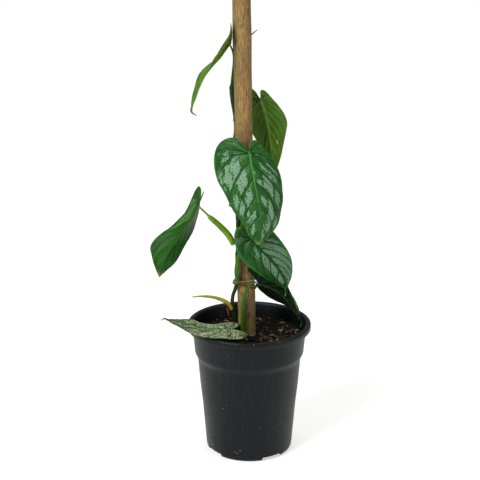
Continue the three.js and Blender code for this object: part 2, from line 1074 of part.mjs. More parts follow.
// Stake: debarked pole, slightly uneven, with plain cut ends
function stake(extra) {
  const radius = stakeRadius + extra;
  const rings = [];
  for (let i = 0; i <= stakeRings; i += 1) {
    const centre = stakeFoot.clone().lerp(stakeTop, i / stakeRings);
    const inset = i === 0 || i === stakeRings ? stakeBevel - extra : 0;
    const ring = [];
    for (let k = 0; k < stakeSides; k += 1) {
      const angle = (k / stakeSides) * 2 * Math.PI;
      const wobble = extra > 0 ? 0 : 0.14 * Math.sin(i * 1.3 + 3 * angle) - 0.14;
      const reach = radius + wobble - inset;
      ring.push(new THREE.Vector3(centre.x + reach * Math.cos(angle), reach * Math.sin(angle), centre.z));
    }
    rings.push(ring);
  }
  rings[0].forEach((point) => point.setZ(stakeFoot.z - extra));
  rings.splice(1, 0, bevelRing(stakeFoot, stakeBevel, radius - (extra > 0 ? 0 : fitGap)));
  rings.splice(rings.length - 1, 0, bevelRing(stakeTop, -stakeBevel, radius - (extra > 0 ? 0 : fitGap)));
  const foot = new THREE.Vector3(stakeFoot.x, 0, stakeFoot.z - extra);
  return skinOverRings(foot, rings, stakeTop);
}

// Assembly
const finishes = {
  pot: [0x202422, 0.45],
  soil: [0x2a1f18, 0.95],
  stake: [0xa07c52, 0.8],
  stem: [0x2f4a26, 0.5],
  leaf: [0x2e5a30, 0.45],
  stalk: [0x6f9a1e, 0.45],
  shoot: [0xb3a63a, 0.5],
  scale: [0x7c3a38, 0.6],
  root: [0x6a5a48, 0.85],
  greenTie: [0x4d7440, 0.5],
  twine: [0x6b5a3c, 0.9],
  footTie: [0x2f6f5e, 0.5],
};

const plant = new THREE.Group();

function addPiece(name, geometry, finish) {
  const [color, roughness] = finishes[finish];
  const mesh = new THREE.Mesh(geometry, new THREE.MeshStandardMaterial({ color, roughness, metalness: 0 }));
  mesh.name = name;
  plant.add(mesh);
}

addPiece("pot", pot(), "pot");
addPiece("soil", soil(), "soil");
addPiece("stake", stake(0), "stake");
addPiece("main_stem", limb(mainStem, 0, stemSteps), "stem");
for (const [name, plan] of Object.entries(leafPlans)) {
  addPiece(name, blade(plan), "leaf");
}
const stalkFinishes = { new_shoot: "shoot", red_scale: "scale", upper_root: "root", root_stub: "root" };
for (const [name, stations] of Object.entries(stalks)) {
  addPiece(name, limb(stations, 0, stalkSteps), stalkFinishes[name] ?? "stalk");
}

addPiece("green_tie", wireAlong(tieLoop(tieHeight, 0, tieRadius), tieRadius, true), "greenTie");
addPiece("twine", wireAlong(tieLoop(twineHeight, twineDrop, twineRadius), twineRadius, true), "twine");
addPiece("foot_tie", wireAlong(footArc(tieRadius), tieRadius, false), "footTie");

const box = new THREE.Box3().setFromObject(plant);
plant.position.set(-(box.min.x + box.max.x) / 2, -(box.min.y + box.max.y) / 2, -box.min.z);

export default plant;
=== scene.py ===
import math
from functools import partial

import bpy
import numpy as np
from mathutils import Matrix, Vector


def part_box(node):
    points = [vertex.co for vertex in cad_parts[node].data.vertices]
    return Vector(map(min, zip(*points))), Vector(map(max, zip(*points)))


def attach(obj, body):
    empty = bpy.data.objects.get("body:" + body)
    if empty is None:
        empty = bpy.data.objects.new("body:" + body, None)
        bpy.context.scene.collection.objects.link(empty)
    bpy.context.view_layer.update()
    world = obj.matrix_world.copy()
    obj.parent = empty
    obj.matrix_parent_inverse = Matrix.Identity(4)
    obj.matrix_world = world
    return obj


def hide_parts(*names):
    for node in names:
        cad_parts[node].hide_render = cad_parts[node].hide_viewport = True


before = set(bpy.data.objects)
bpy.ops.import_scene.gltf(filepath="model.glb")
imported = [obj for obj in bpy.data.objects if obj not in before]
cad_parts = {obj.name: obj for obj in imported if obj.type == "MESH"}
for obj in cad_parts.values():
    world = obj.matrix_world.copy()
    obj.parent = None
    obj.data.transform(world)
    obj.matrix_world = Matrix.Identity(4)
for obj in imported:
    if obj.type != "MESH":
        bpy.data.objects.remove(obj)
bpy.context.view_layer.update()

# Potted silver leaf philodendron, dressed over its CAD frame. Plan sizes are in millimetres about the pot's
# axis, as in the part's source, and place() turns them to metres in the frame.
potLow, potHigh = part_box("pot")
potAxis = np.array([(potLow[0] + potHigh[0]) / 2, (potLow[1] + potHigh[1]) / 2, 0.0])


def place(points):
    return np.asarray(points, float) / 1000 + potAxis


def hexColour(text):
    # sRGB hex to the linear colour that the shader sockets take
    channels = [int(text[i:i + 2], 16) / 255 for i in (1, 3, 5)]
    return tuple(c / 12.92 if c <= 0.04045 else ((c + 0.055) / 1.055) ** 2.4 for c in channels) + (1.0,)


def feed(node, inputs):
    # inputs by socket name or number, or a list from the first on: values, hex colours, sockets or nodes
    for key, value in inputs.items() if isinstance(inputs, dict) else enumerate(inputs):
        if isinstance(value, bpy.types.Node):
            value = next(socket for socket in value.outputs if socket.enabled)
        if isinstance(value, bpy.types.NodeSocket):
            node.id_data.links.new(value, node.inputs[key])
        elif isinstance(value, str) and value.startswith("#"):
            node.inputs[key].default_value = hexColour(value)
        else:
            node.inputs[key].default_value = value


def addNode(tree, kind, inputs=(), stops=(), **settings):
    # one node, its kind named without the prefix; stops are those of a colour ramp
    prefixes = ("ShaderNode", "GeometryNode", "FunctionNode", "Node")
    node = tree.nodes.new(next(prefix + kind for prefix in prefixes if hasattr(bpy.types, prefix + kind)))
    for name, value in settings.items():
        setattr(node, name, value)
    feed(node, inputs)
    for k, (position, colour) in enumerate(stops):
        elements = node.color_ramp.elements
        element = elements[k] if k < 2 else elements.new(position)
        element.position = position
        element.color = hexColour(colour)
    return node


def newMaterial(name, **sockets):
    # material, its shader and what adds its nodes; what is the same all over is set on the shader's sockets
    material = bpy.data.materials.new(name)
    material.use_nodes = True
    tree = material.node_tree
    tree.nodes.clear()
    add = partial(addNode, tree)
    shader = add("BsdfPrincipled", {key.replace("_", " "): value for key, value in sockets.items()})
    add("OutputMaterial", {"Surface": shader})
    return material, shader, add


smooth = {"interpolation_type": "SMOOTHSTEP"}


def layered(add, tone, layers):
    # colours laid one over another, each by its own share
    for share, colour in layers:
        tone = add("Mix", {0: share, 6: tone, 7: colour}, data_type="RGBA")
    return tone


# Camera at the photo's place: 1.3 m in front, looking 16.9 degrees down
view = {"across": -10.6, "back": 1300.0, "height": 643.8, "pitch": 16.9, "focalPixels": 1219.0,
        "imagePixels": 480.0, "filmWidth": 36.0, "farthest": 60.0}
lens = bpy.data.cameras.new("camera")
lens.sensor_width = view["filmWidth"]
lens.lens = view["focalPixels"] * lens.sensor_width / view["imagePixels"]
lens.clip_end = view["farthest"]
camera = bpy.data.objects.new("camera", lens)
camera.location = place((view["across"], -view["back"], view["height"]))
camera.rotation_euler = (math.radians(90 - view["pitch"]), 0, 0)
bpy.context.scene.collection.objects.link(camera)
bpy.context.scene.camera = camera

# Floor and soft studio light
studio = {
    "backdrop": 1.0,  # brightness of the white studio behind the plant
    "fill": 0.3,  # brightness of the same studio as a light
    "lights": {  # place in metres in the frame, size in metres, watts
        "keyLeft": ((-1.6, -1.7, 1.9), 1.1, 78.0),
        "fillRight": ((1.9, -1.2, 1.1), 1.4, 14.0),
        "top": ((0.3, 0.7, 2.4), 1.2, 26.0),
    },
    "aim": (0.0, 0.0, 0.27), "floorRadius": 1.5,
}
bpy.context.scene.view_settings.view_transform = "Standard"
bpy.ops.mesh.primitive_circle_add(vertices=128, radius=studio["floorRadius"], fill_type="NGON")
floor = bpy.context.object
floor.name = "floor"
# matt white translucent paper lit from below as well, as on a photo table: soft, no gloss, faint shadows
paper, shader, add = newMaterial("matt white backlit studio paper", Roughness=0.9, Emission_Strength=0.52,
                                 Emission_Color="#ffffff")
cloud = add("TexNoise", {"Vector": add("TexCoord").outputs["Object"], "Scale": 1.5, "Detail": 2.0})
feed(shader, {"Base Color": layered(add, "#c6c6c5", [(cloud, "#cdcdcc")])})
floor.data.materials.append(paper)

world = bpy.data.worlds.new("studio")
bpy.context.scene.world = world
world.use_nodes = True
seen = addNode(world.node_tree, "LightPath").outputs["Is Camera Ray"]
strength = addNode(world.node_tree, "MapRange", {0: seen, 3: studio["fill"], 4: studio["backdrop"]})
feed(world.node_tree.nodes["Background"], {"Color": "#ffffff", "Strength": strength})
for name, (where, size, watts) in studio["lights"].items():
    lamp = bpy.data.lights.new(name, "AREA")
    lamp.size = size
    lamp.energy = watts
    holder = bpy.data.objects.new(name, lamp)
    holder.location = where
    away = np.array(where) - np.array(studio["aim"])
    holder.rotation_euler = (math.atan2(math.hypot(away[0], away[1]), away[2]), 0,
                             math.atan2(away[1], away[0]) + math.pi / 2)
    bpy.context.scene.collection.objects.link(holder)
print("stage set")


def showPiece(name, mesh):
    piece = bpy.data.objects.new(name, mesh)
    bpy.context.scene.collection.objects.link(piece)
    return piece


def fitPiece(piece, slot, *nodes):
    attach(piece, "root")
    if nodes:
        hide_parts(*nodes)


def meshFrom(name, points, faces, materials, faceSlots, uvs):
    # closed mesh; points in metres, uvs by face corner
    mesh = bpy.data.meshes.new(name)
    mesh.from_pydata([tuple(p) for p in points], [], faces)
    for material in materials:
        mesh.materials.append(material)
    mesh.polygons.foreach_set("material_index", np.asarray(faceSlots, np.int32))
    for layerName, values in uvs.items():
        mesh.uv_layers.new(name=layerName).data.foreach_set("uv", np.asarray(values, np.float32).ravel())
    mesh.polygons.foreach_set("use_smooth", [True] * len(mesh.polygons))
    mesh.update()
    return mesh


def smoothLine(points, count):
    # Catmull-Rom line through the points, evenly spaced by length; returns the line and its length
    p = np.asarray(points, float)
    q = np.vstack([2 * p[0] - p[1], p, 2 * p[-1] - p[-2]])
    t = (np.arange(24) / 24)[:, None]
    spans = [0.5 * (2 * b + (c - a) * t + (2 * a - 5 * b + 4 * c - d) * t ** 2 + (3 * b - a - 3 * c + d)
                    * t ** 3) for a, b, c, d in zip(q, q[1:], q[2:], q[3:])]
    line = np.vstack(spans + [p[-1:]])
    run = np.concatenate([[0], np.cumsum(np.linalg.norm(np.diff(line[:, :3], axis=0), axis=1))])
    even = np.linspace(0, run[-1], count)
    return np.stack([np.interp(even, run, line[:, k]) for k in range(line.shape[1])], 1), run[-1]


def runNodes(holder, tree, values):
    # the tree's result on the holder, as a plain mesh piece of the holder's name
    modifier = holder.modifiers.new("nodes", "NODES")
    modifier.node_group = tree
    labels = {item.name: item.identifier for item in tree.interface.items_tree if item.in_out == "INPUT"}
    for label, value in values.items():
        modifier[labels[label]] = value
    bpy.context.view_layer.update()
    graph = bpy.context.evaluated_depsgraph_get()
    mesh = bpy.data.meshes.new_from_object(holder.evaluated_get(graph), preserve_all_data_layers=True,
                                           depsgraph=graph)
    name = holder.name
    holder.modifiers.remove(modifier)
    bpy.data.objects.remove(holder)
    mesh.name = name
    return showPiece(name, mesh)


def newTree(name, sizes):
    # empty geometry tree with its named inputs; whole numbers become integer inputs
    tree = bpy.data.node_groups.new(name, "GeometryNodeTree")
    tree.interface.new_socket("Geometry", in_out="INPUT", socket_type="NodeSocketGeometry")
    for label, value in sizes.items():
        kind = "NodeSocketInt" if isinstance(value, int) else "NodeSocketFloat"
        tree.interface.new_socket(label, in_out="INPUT", socket_type=kind).default_value = value
    tree.interface.new_socket("Geometry", in_out="OUTPUT", socket_type="NodeSocketGeometry")
    add = partial(addNode, tree)
    return tree, add("GroupInput").outputs, add


def closeTree(tree, geometry, material):
    realized = addNode(tree, "RealizeInstances", {"Geometry": geometry})
    painted = addNode(tree, "SetMaterial", {"Geometry": realized, "Material": material})
    addNode(tree, "GroupOutput", {"Geometry": painted})
    return tree


def pathObject(name, lines, closed=False):
    # poly curves, each through its own [x, y, z, radius] in mm
    curve = bpy.data.curves.new(name, "CURVE")
    curve.dimensions = "3D"
    for stations in lines:
        spline = curve.splines.new("POLY")
        spline.points.add(len(stations) - 1)
        for point, spot, station in zip(spline.points, place(np.asarray(stations)[:, :3]), stations):
            point.co = (*spot, 1.0)
            point.radius = station[3] / 1000
        spline.use_cyclic_u = closed
    return showPiece(name, curve)


# Limb tree: rings of the path's radius along the path, with long lumps and, for cord, twisted lobes
limbSizes = {"Sides": 20, "Lumps": 0.0, "Lump width": 0.003, "Lump length": 0.012, "Fibres": 0.0,
             "Fibre width": 0.0009, "Fibre length": 0.02, "Twists": 0.0, "Lobe depth": 0.0, "Seed": 1.0}
limbEnds = {  # rings that close an end, from the outermost in: how far out and what part of the radius
    "round": ((0.38, 0.25), (0.3, 0.6), (0.16, 0.87)),
    "flat": ((1.0, 1.0), (0.7, 0.45), (0.3, 0.1)),  # in shares of flatEnds, the second taken off the radius
}


def limbTree(name, material):
    tree, given, add = newTree(name, limbSizes)
    run = add("SplineParameter").outputs["Length"]
    turns = add("Math", [run, given["Twists"]], operation="MULTIPLY")
    turns = add("Math", [turns, 2 * math.pi], operation="MULTIPLY")
    path = add("SetCurveTilt", {"Curve": given["Geometry"], "Tilt": turns})
    ring = add("CurvePrimitiveCircle", {"Resolution": given["Sides"], "Radius": 1.0}, mode="RADIUS")
    share = add("SplineParameter").outputs["Factor"]
    swing = add("Math", [share, 4 * math.pi], operation="MULTIPLY")
    swing = add("Math", [swing], operation="COSINE")
    reach = add("Math", [swing, given["Lobe depth"], 1.0], operation="MULTIPLY_ADD")
    corner = add("InputPosition")
    corner = add("VectorMath", {0: corner, "Scale": reach}, operation="SCALE")
    ring = add("SetPosition", {"Geometry": ring, "Position": corner})
    skin = add("CurveToMesh", {"Curve": path, "Profile Curve": ring, "Fill Caps": True,
                               "Scale": add("InputRadius")})
    here = add("InputPosition")
    outward = add("InputNormal")
    for amount, width, length in (("Lumps", "Lump width", "Lump length"),
                                  ("Fibres", "Fibre width", "Fibre length")):
        # noise read on a height squeezed by length over width
        often = add("Math", [1.0, given[width]], operation="DIVIDE")
        seldom = add("Math", [1.0, given[length]], operation="DIVIDE")
        factors = add("CombineXYZ", [often, often, seldom])
        spot = add("VectorMath", [here, factors], operation="MULTIPLY")
        noise = add("TexNoise", {"Vector": spot, "W": given["Seed"], "Scale": 1.0, "Detail": 2.0},
                    noise_dimensions="4D")
        noise = add("Math", [noise, 0.5], operation="SUBTRACT")
        noise = add("Math", [noise, given[amount]], operation="MULTIPLY")
        shift = add("VectorMath", {0: outward, "Scale": noise}, operation="SCALE")
        skin = add("SetPosition", {"Geometry": skin, "Offset": shift})
    skin = add("SetShadeSmooth", {"Geometry": skin})
    return closeTree(tree, skin, material)


def limb(name, stations, material, slot, nodes, knots=(), ringGap=0.8, flatEnds=0.0, **sizes):
    # knots are swollen joints as (height in mm, extra radius, half length)
    length = smoothLine(stations, 3)[1]
    line = smoothLine(stations, max(8, int(length / ringGap)))[0]
    for height, extra, halfLength in knots:
        line[:, 3] += extra * np.exp(-((line[:, 2] - height) / halfLength) ** 2)
    steps = limbEnds["round"]
    if flatEnds:
        steps = tuple((reach * flatEnds / line[0][3], 1 - drop * flatEnds / line[0][3])
                      for reach, drop in limbEnds["flat"])
    ends = []
    for tip, inner in ((line[0], line[1]), (line[-1], line[-2])):
        out = (tip[:3] - inner[:3]) / np.linalg.norm(tip[:3] - inner[:3])
        ends.append([np.append(tip[:3] + out * tip[3] * reach, tip[3] * part) for reach, part in steps])
    stationed = np.vstack([ends[0], line, ends[1][::-1]])
    piece = runNodes(pathObject(name, [stationed]), limbTree(name, material), {**limbSizes, **sizes})
    fitPiece(piece, slot, *nodes)
    return piece


# Turned pot: the tree sweeps the closed wall outline round the axis and cuts the foot's notches and drains
potPlan = {
    "height": 152.0, "rimRadius": 70.0, "rimDrop": 7.0, "lip": 1.5, "wall": 1.5, "floor": 5.0,
    "collarTop": 64.4, "collarFoot": 62.2, "collarFootHeight": 118.0, "shoulderHeight": 109.0,
    "wallTop": 58.7, "wallMid": 53.6, "wallMidHeight": 55.0, "wallFoot": 49.7,
    "sharpFrom": 40.0,  # degrees between faces
}
potSizes = {"Sectors": 176, "Axle": 0.1, "Notch angle": math.radians(33.5), "Notch height": 0.0046,
            "Notch width": 0.0266, "Notch reach": 0.022, "Notch place": -0.0455, "Slot height": 0.010,
            "Slot width": 0.009, "Slot reach": 0.010, "Slot place": -0.038}


def potOutline(p):
    # (radius, height) round the wall: foot, outer wall, collar, rim and inner wall
    collar, rim, top, lipFoot = p["collarTop"], p["rimRadius"], p["height"], p["height"] - p["rimDrop"]
    foot = [(0.2, p["floor"]), (38, p["floor"]), (41, 0), (46, 0), (47.4, 0.4), (48.6, 1.6), (49.3, 3.4)]
    outer = [(p["wallFoot"], 6), (51.2, 25), (p["wallMid"], p["wallMidHeight"]), (56.4, 80), (58.3, 104),
             (p["wallTop"], p["shoulderHeight"]), (59.2, 111.4), (60.1, 113.4), (61.4, 116.0),
             (61.9, 117.2), (p["collarFoot"], p["collarFootHeight"] + 0.6), (62.45, 121), (63.4, 132),
             (collar, lipFoot - 2)]
    lip = [(collar + 0.3, lipFoot), (collar + 0.6, top - 4), (collar + 1.0, top - 2.5),
           (collar + 2.0, top - 1.7), (rim - 2.8, top - 1.7), (rim - 1.8, top - 2.4),
           (rim - p["lip"], top - 3.6), (rim - p["lip"], lipFoot + 0.5), (rim - 1.1, lipFoot),
           (rim - 0.4, lipFoot), (rim, lipFoot + 0.5), (rim, top - 2.0), (rim - 0.25, top - 1.0),
           (rim - 0.9, top - 0.25), (rim - 1.8, top), (collar + 1.4, top), (collar + 0.4, top - 0.3),
           (collar - 0.2, top - 1.1), (collar - 0.6, top - 2.4)]
    inner = [(collar - p["wall"], lipFoot - 2), (61.8, 132), (60.8, 118.8), (58.6, 114),
             (p["wallTop"] - p["wall"], p["shoulderHeight"]), (54.9, 80), (52.1, 55), (48.2, 9), (46, 6.5),
             (0.2, 6.5)]
    return foot + outer + lip + inner


def potTree(material):
    tree, given, add = newTree("turned pot", potSizes)
    circle = add("CurvePrimitiveCircle", {"Resolution": given["Sectors"], "Radius": given["Axle"]},
                 mode="RADIUS")
    wall = add("CurveToMesh", {"Curve": circle, "Profile Curve": given["Geometry"]})
    wall = add("MergeByDistance", {"Geometry": wall, "Distance": 0.00001})
    for cut in ("Notch", "Slot"):
        cutters = add("JoinGeometry")
        width, reach, tall, middle = (given[f"{cut} {part}"]
                                      for part in ("width", "reach", "height", "place"))
        size = add("CombineXYZ", [width, reach, tall])
        lift = add("Math", [tall, 0.5, -0.0001], operation="MULTIPLY_ADD")
        spot = add("CombineXYZ", [0.0, middle, lift])
        block = add("MeshCube", {"Size": size})
        block = add("Transform", {"Geometry": block, "Translation": spot})
        for quarter in range(4):
            angle = add("Math", [given["Notch angle"], quarter * math.pi / 2], operation="ADD")
            turn = add("CombineXYZ", {2: angle})
            turned = add("Transform", {"Geometry": block, "Rotation": turn})
            feed(cutters, [turned])
        wall = add("MeshBoolean", {"Mesh 1": wall, "Mesh 2": cutters}, operation="DIFFERENCE",
                   solver="EXACT")
    moved = add("Transform", {"Geometry": wall, "Translation": tuple(potAxis)})
    return closeTree(tree, moved, material)


# Injection moulded polypropylene dyed black: satin, greyed a little by handling, with drag streaks and dust
potBlack, shader, add = newMaterial("moulded black polypropylene", IOR=1.49, Specular_IOR_Level=0.2)
spot = add("TexCoord").outputs["Object"]
tall = add("Mapping", {"Vector": spot, "Scale": (1.0, 1.0, 0.06)})
streak = add("TexNoise", {"Vector": tall, "Scale": 420.0, "Detail": 2.0})
streak = add("MapRange", [streak, 0.46, 0.7, 0.0, 0.7])
cloud = add("TexNoise", {"Vector": spot, "Scale": 26.0, "Detail": 3.0})
dust = add("TexVoronoi", {"Vector": spot, "Scale": 260.0})
dustSize = add("TexNoise", {"Vector": spot, "Scale": 60.0, "Detail": 2.0})
dustSize = add("MapRange", [dustSize, 0.54, 0.74, 0.0, 0.16])
dust = add("Math", [dust.outputs["Distance"], dustSize], operation="LESS_THAN")
dust = add("Math", [dust, 0.75], operation="MULTIPLY")
tone = layered(add, "#010506", [(cloud, "#050b0d"), (streak, "#0f1516"), (dust, "#a9aba6")])
rough = add("MapRange", [cloud, 0.25, 0.75, 0.36, 0.48])
grain = add("TexNoise", {"Vector": spot, "Scale": 900.0, "Detail": 2.0})
bump = add("Bump", {"Strength": 0.5, "Distance": 0.00006, "Height": grain})
feed(shader, {"Base Color": tone, "Roughness": rough, "Normal": bump})

wallLine = bpy.data.curves.new("pot_dressed", "CURVE")
wallLine.dimensions = "2D"
outline = potOutline(potPlan)[::-1]
spline = wallLine.splines.new("POLY")
spline.points.add(len(outline) - 1)
for point, (radius, height) in zip(spline.points, outline):
    # the sweep stands the outline upright
    point.co = (radius / 1000 - potSizes["Axle"], -height / 1000, 0, 1)
spline.use_cyclic_u = True
pot = runNodes(showPiece("pot_dressed", wallLine), potTree(potBlack), potSizes)
pot.data.polygons.foreach_set("use_smooth", [True] * len(pot.data.polygons))
pot.data.set_sharp_from_angle(angle=math.radians(potPlan["sharpFrom"]))
fitPiece(pot, "pot", "pot")
print("pot turned:", len(pot.data.polygons), "faces")

# Potting mix: a turned body that fills the pot, its top rippled, with bark chips, grit and rootlets on it
soilPlan = {"height": 137.0, "rings": 74, "sectors": 190, "ripple": 0.78, "mound": 0.5, "moundReach": 900.0,
            "seed": 4, "settledFrom": 0.93, "settled": -0.6, "crumb": 0.75,
            "wall": [(61.9, 137), (60.9, 126), (60.1, 119), (58.0, 113.4), (56.6, 108.6), (54.3, 80),
                     (51.5, 55), (48.0, 12), (45.6, 7.1), (30, 7.1), (12, 7.1)]}
chipSizes = {"Chips per area": 9500.0, "Chip width": 0.0031, "Grit per area": 60000.0, "Grit width": 0.0007,
             "Top height": 0.1345, "Reach": 0.0575, "Chip seed": 11, "Grit seed": 5}


def soilHeight(x, y):
    ripple = np.sin(0.21 * x + 1) * np.cos(0.17 * y) + 0.6 * np.sin(0.43 * x + 0.37 * y)
    mound = soilPlan["mound"] * np.exp(-(x * x + y * y) / soilPlan["moundReach"])
    return soilPlan["height"] + soilPlan["ripple"] * ripple + mound


def soilMesh(material):
    random = np.random.default_rng(soilPlan["seed"])
    sectors = soilPlan["sectors"]
    turn = np.arange(sectors) / sectors * 2 * math.pi
    points = [[0, 0, soilHeight(0.0, 0.0)]]
    for k in range(1, soilPlan["rings"] + 1):
        share = k / soilPlan["rings"]
        radius = soilPlan["wall"][0][0] * share
        x, y = radius * np.cos(turn), radius * np.sin(turn)
        crumbs = soilPlan["crumb"] * (random.random(sectors) ** 2 - 0.33) * (share > 0.05)
        # the mix has settled a little at the wall
        edge = np.interp(share, [0, soilPlan["settledFrom"], 1], [0, 0, soilPlan["settled"]])
        points += np.stack([x, y, soilHeight(x, y) + crumbs + edge], 1).tolist()
    for radius, height in soilPlan["wall"][1:]:
        level = np.full(sectors, height)
        points += np.stack([radius * np.cos(turn), radius * np.sin(turn), level], 1).tolist()
    points.append([0, 0, soilPlan["wall"][-1][1]])
    rows = (len(points) - 2) // sectors
    faces = []
    for k in range(sectors):
        after = (k + 1) % sectors
        faces.append((0, 1 + k, 1 + after))
        for row in range(rows - 1):
            a, b = 1 + row * sectors, 1 + (row + 1) * sectors
            faces.append((a + k, b + k, b + after, a + after))
        a = 1 + (rows - 1) * sectors
        faces.append((a + k, len(points) - 1, a + after))
    return meshFrom("soil_dressed", place(points), faces, [material], [0] * len(faces), {})


def chipTree(material):
    # flat, rounded chips and small grit scattered on the faces that look up; tone says how dark each one is
    tree, given, add = newTree("scattered bark and grit", chipSizes)
    body = given["Geometry"]
    up = add("SeparateXYZ", [add("InputNormal")]).outputs["Z"]
    here = add("InputPosition")
    high = add("SeparateXYZ", [here]).outputs["Z"]
    out = add("VectorMath", [here, tuple(potAxis)], operation="SUBTRACT")
    out = add("VectorMath", [out, (1.0, 1.0, 0.0)], operation="MULTIPLY")
    out = add("VectorMath", [out], operation="LENGTH").outputs["Value"]
    out = add("Math", [out, given["Reach"]], operation="LESS_THAN")
    top = add("Math", [high, given["Top height"]], operation="GREATER_THAN")
    upper = add("Math", [up, 0.2], operation="GREATER_THAN")
    top = add("Math", [top, upper], operation="MULTIPLY")
    top = add("Math", [top, out], operation="MULTIPLY")
    joined = add("JoinGeometry", [body])
    for amount, width, seed, shapes in (("Chips per area", "Chip width", "Chip seed", (1.0, 0.5, 0.3)),
                                        ("Grit per area", "Grit width", "Grit seed", (1.0, 0.9, 0.8))):
        chip = shapes[2] < 0.5
        points = add("DistributePointsOnFaces", {"Mesh": body, "Selection": top, "Density": given[amount],
                                                 "Seed": given[seed]}, distribute_method="RANDOM")
        lump = add("MeshIcoSphere", {"Radius": 1.0, "Subdivisions": 2 if chip else 1})
        lump = add("Transform", {"Geometry": lump, "Scale": shapes})
        push = add("TexNoise", {"Vector": here, "Scale": 1.6, "Detail": 1.0}).outputs["Color"]
        push = add("VectorMath", [push, (0.5, 0.5, 0.5)], operation="SUBTRACT")
        push = add("VectorMath", {0: push, "Scale": 0.9}, operation="SCALE")
        lump = add("SetPosition", {"Geometry": lump, "Offset": push})
        spin = add("RandomValue", {"Min": (-0.5, -0.5, 0.0), "Max": (0.5, 0.5, 6.28), "Seed": given[seed]},
                   data_type="FLOAT_VECTOR")
        low, high = add("Math", [given[width], 0.22], operation="MULTIPLY"), given[width]
        size = add("RandomValue", {2: low, 3: high, "Seed": given[seed]}, data_type="FLOAT")
        placed = add("InstanceOnPoints", {"Points": points, "Instance": lump, "Rotation": spin,
                                          "Scale": size.outputs[1]})
        tone = add("RandomValue", {2: 0.15, 3: 1.0, "Seed": given[seed]}, data_type="FLOAT")
        placed = add("StoreNamedAttribute", {"Geometry": placed, "Name": "tone", "Value": tone.outputs[1]},
                     data_type="FLOAT", domain="INSTANCE")
        feed(joined, [placed])
    shaded = add("SetShadeSmooth", {"Geometry": joined})
    return closeTree(tree, shaded, material)


# Peat and composted bark: matt, near black when moist, with tan bark, brown chips and pale grit
pottingMix, shader, add = newMaterial("moist peat and bark potting mix", Roughness=0.92, IOR=1.4,
                                      Specular_IOR_Level=0.1)
spot = add("TexCoord").outputs["Object"]
crumb = add("TexVoronoi", {"Vector": spot, "Scale": 520.0})
soft = add("TexNoise", {"Vector": spot, "Scale": 75.0, "Detail": 4.0})
pale = add("Math", [crumb.outputs["Color"], 0.86], operation="GREATER_THAN")
tone = add("Attribute", attribute_name="tone").outputs["Fac"]
isChip = add("Math", [tone, 0.1], operation="GREATER_THAN")
fibre = add("TexNoise", {"Vector": spot, "Scale": 900.0, "Detail": 3.0})
bark = add("ValToRGB", [tone], [(0.15, "#030202"), (0.62, "#0a0806"), (0.8, "#221a14"), (0.88, "#4e3d2d"),
                                (0.95, "#94805f"), (0.98, "#98927e")])
bark = layered(add, bark, [(fibre, "#1d1611")])
peat = layered(add, "#030202", [(soft, "#120e0a"), (pale, "#4a3f31"), (isChip, bark)])
bump = add("Bump", {"Strength": 0.7, "Distance": 0.0004, "Height": crumb.outputs["Distance"]})
feed(shader, {"Base Color": peat, "Normal": bump})

soil = runNodes(showPiece("soil_dressed", soilMesh(pottingMix)), chipTree(pottingMix), chipSizes)
fitPiece(soil, "soil", "soil")
print("soil laid:", len(soil.data.polygons), "faces")

# Fine feeder roots that lie on the mix, each a short wandering line
rootletPlan = {"count": 26, "reach": 56.0, "clear": 15.0, "steps": 9, "step": (1.6, 3.2), "wander": 0.7,
               "radius": (0.22, 0.42), "seed": 21}


def rootletLines(plan):
    random = np.random.default_rng(plan["seed"])
    lines = []
    while len(lines) < plan["count"]:
        turn, reach = random.uniform(0, 2 * math.pi), math.sqrt(random.uniform(0.06, 1)) * plan["reach"]
        x, y, heading = reach * math.cos(turn), reach * math.sin(turn), random.uniform(0, 2 * math.pi)
        step, thick, line = random.uniform(*plan["step"]), random.uniform(*plan["radius"]), []
        for k in range(plan["steps"]):
            line.append([x, y, soilHeight(x, y) + 0.45 + 0.3 * math.sin(k * 1.3),
                         thick * (1 - 0.7 * k / plan["steps"])])
            heading += random.normal(0, plan["wander"])
            x, y = x + step * math.cos(heading), y + step * math.sin(heading)
        if all(plan["clear"] < math.hypot(spot[0], spot[1]) < plan["reach"] + 3 for spot in line):
            lines.append(line)
    return lines


# Stake: a peeled stick, weathered, with raised fibres, dark flecks, knots, a green bloom low down and
# painted shade along both edges
stakePlan = {"foot": (-1.5, 0.0, 60.0), "top": (-9.5, 0.0, 540.0), "radius": 9.85, "edge": 1.0}


def stakeCentre(height):
    foot, top = np.array(stakePlan["foot"]), np.array(stakePlan["top"])
    return foot + (top - foot) * (height - foot[2]) / (top[2] - foot[2])


weatheredWood, shader, add = newMaterial("peeled and weathered hardwood stick", IOR=1.48)
spot = add("TexCoord").outputs["Object"]
side = add("SeparateXYZ", [spot]).outputs
axis = add("Mapping", {"Vector": spot, "Scale": (1.0, 1.0, 0.22)})
short = add("Mapping", {"Vector": spot, "Scale": (1.0, 1.0, 0.16)})
fibre = add("TexNoise", {"Vector": axis, "Scale": 620.0, "Detail": 4.0, "Roughness": 0.7})
wood = add("ValToRGB", [fibre], [(0.3, "#4a3416"), (0.44, "#79592b"), (0.55, "#96733a"), (0.7, "#b39052")])
band = add("TexNoise", {"Vector": axis, "Scale": 120.0, "Detail": 3.0})
band = add("MapRange", [band, 0.5, 0.7, 0.0, 0.45])
cloud = add("TexNoise", {"Vector": spot, "Scale": 34.0, "Detail": 4.0})
grey = add("MapRange", [cloud, 0.48, 0.72, 0.0, 0.5])
# painted shade: a greenish shade from the stem beside it along the left edge, and a brown shade down the
# right side
paintedGreenShade = add("MapRange", [side["X"], 0.0125, 0.0055, 0.0, 0.55], **smooth)
shade = add("MapRange", [side["X"], 0.011, 0.025, 0.0, 0.5])
low = add("MapRange", [side["Z"], 0.225, 0.15, 0.0, 1.0])
bloom = add("TexNoise", {"Vector": spot, "Scale": 170.0, "Detail": 4.0})
bloom = add("MapRange", [bloom, 0.5, 0.62, 0.0, 0.8])
bloom = add("Math", [bloom, low], operation="MULTIPLY")
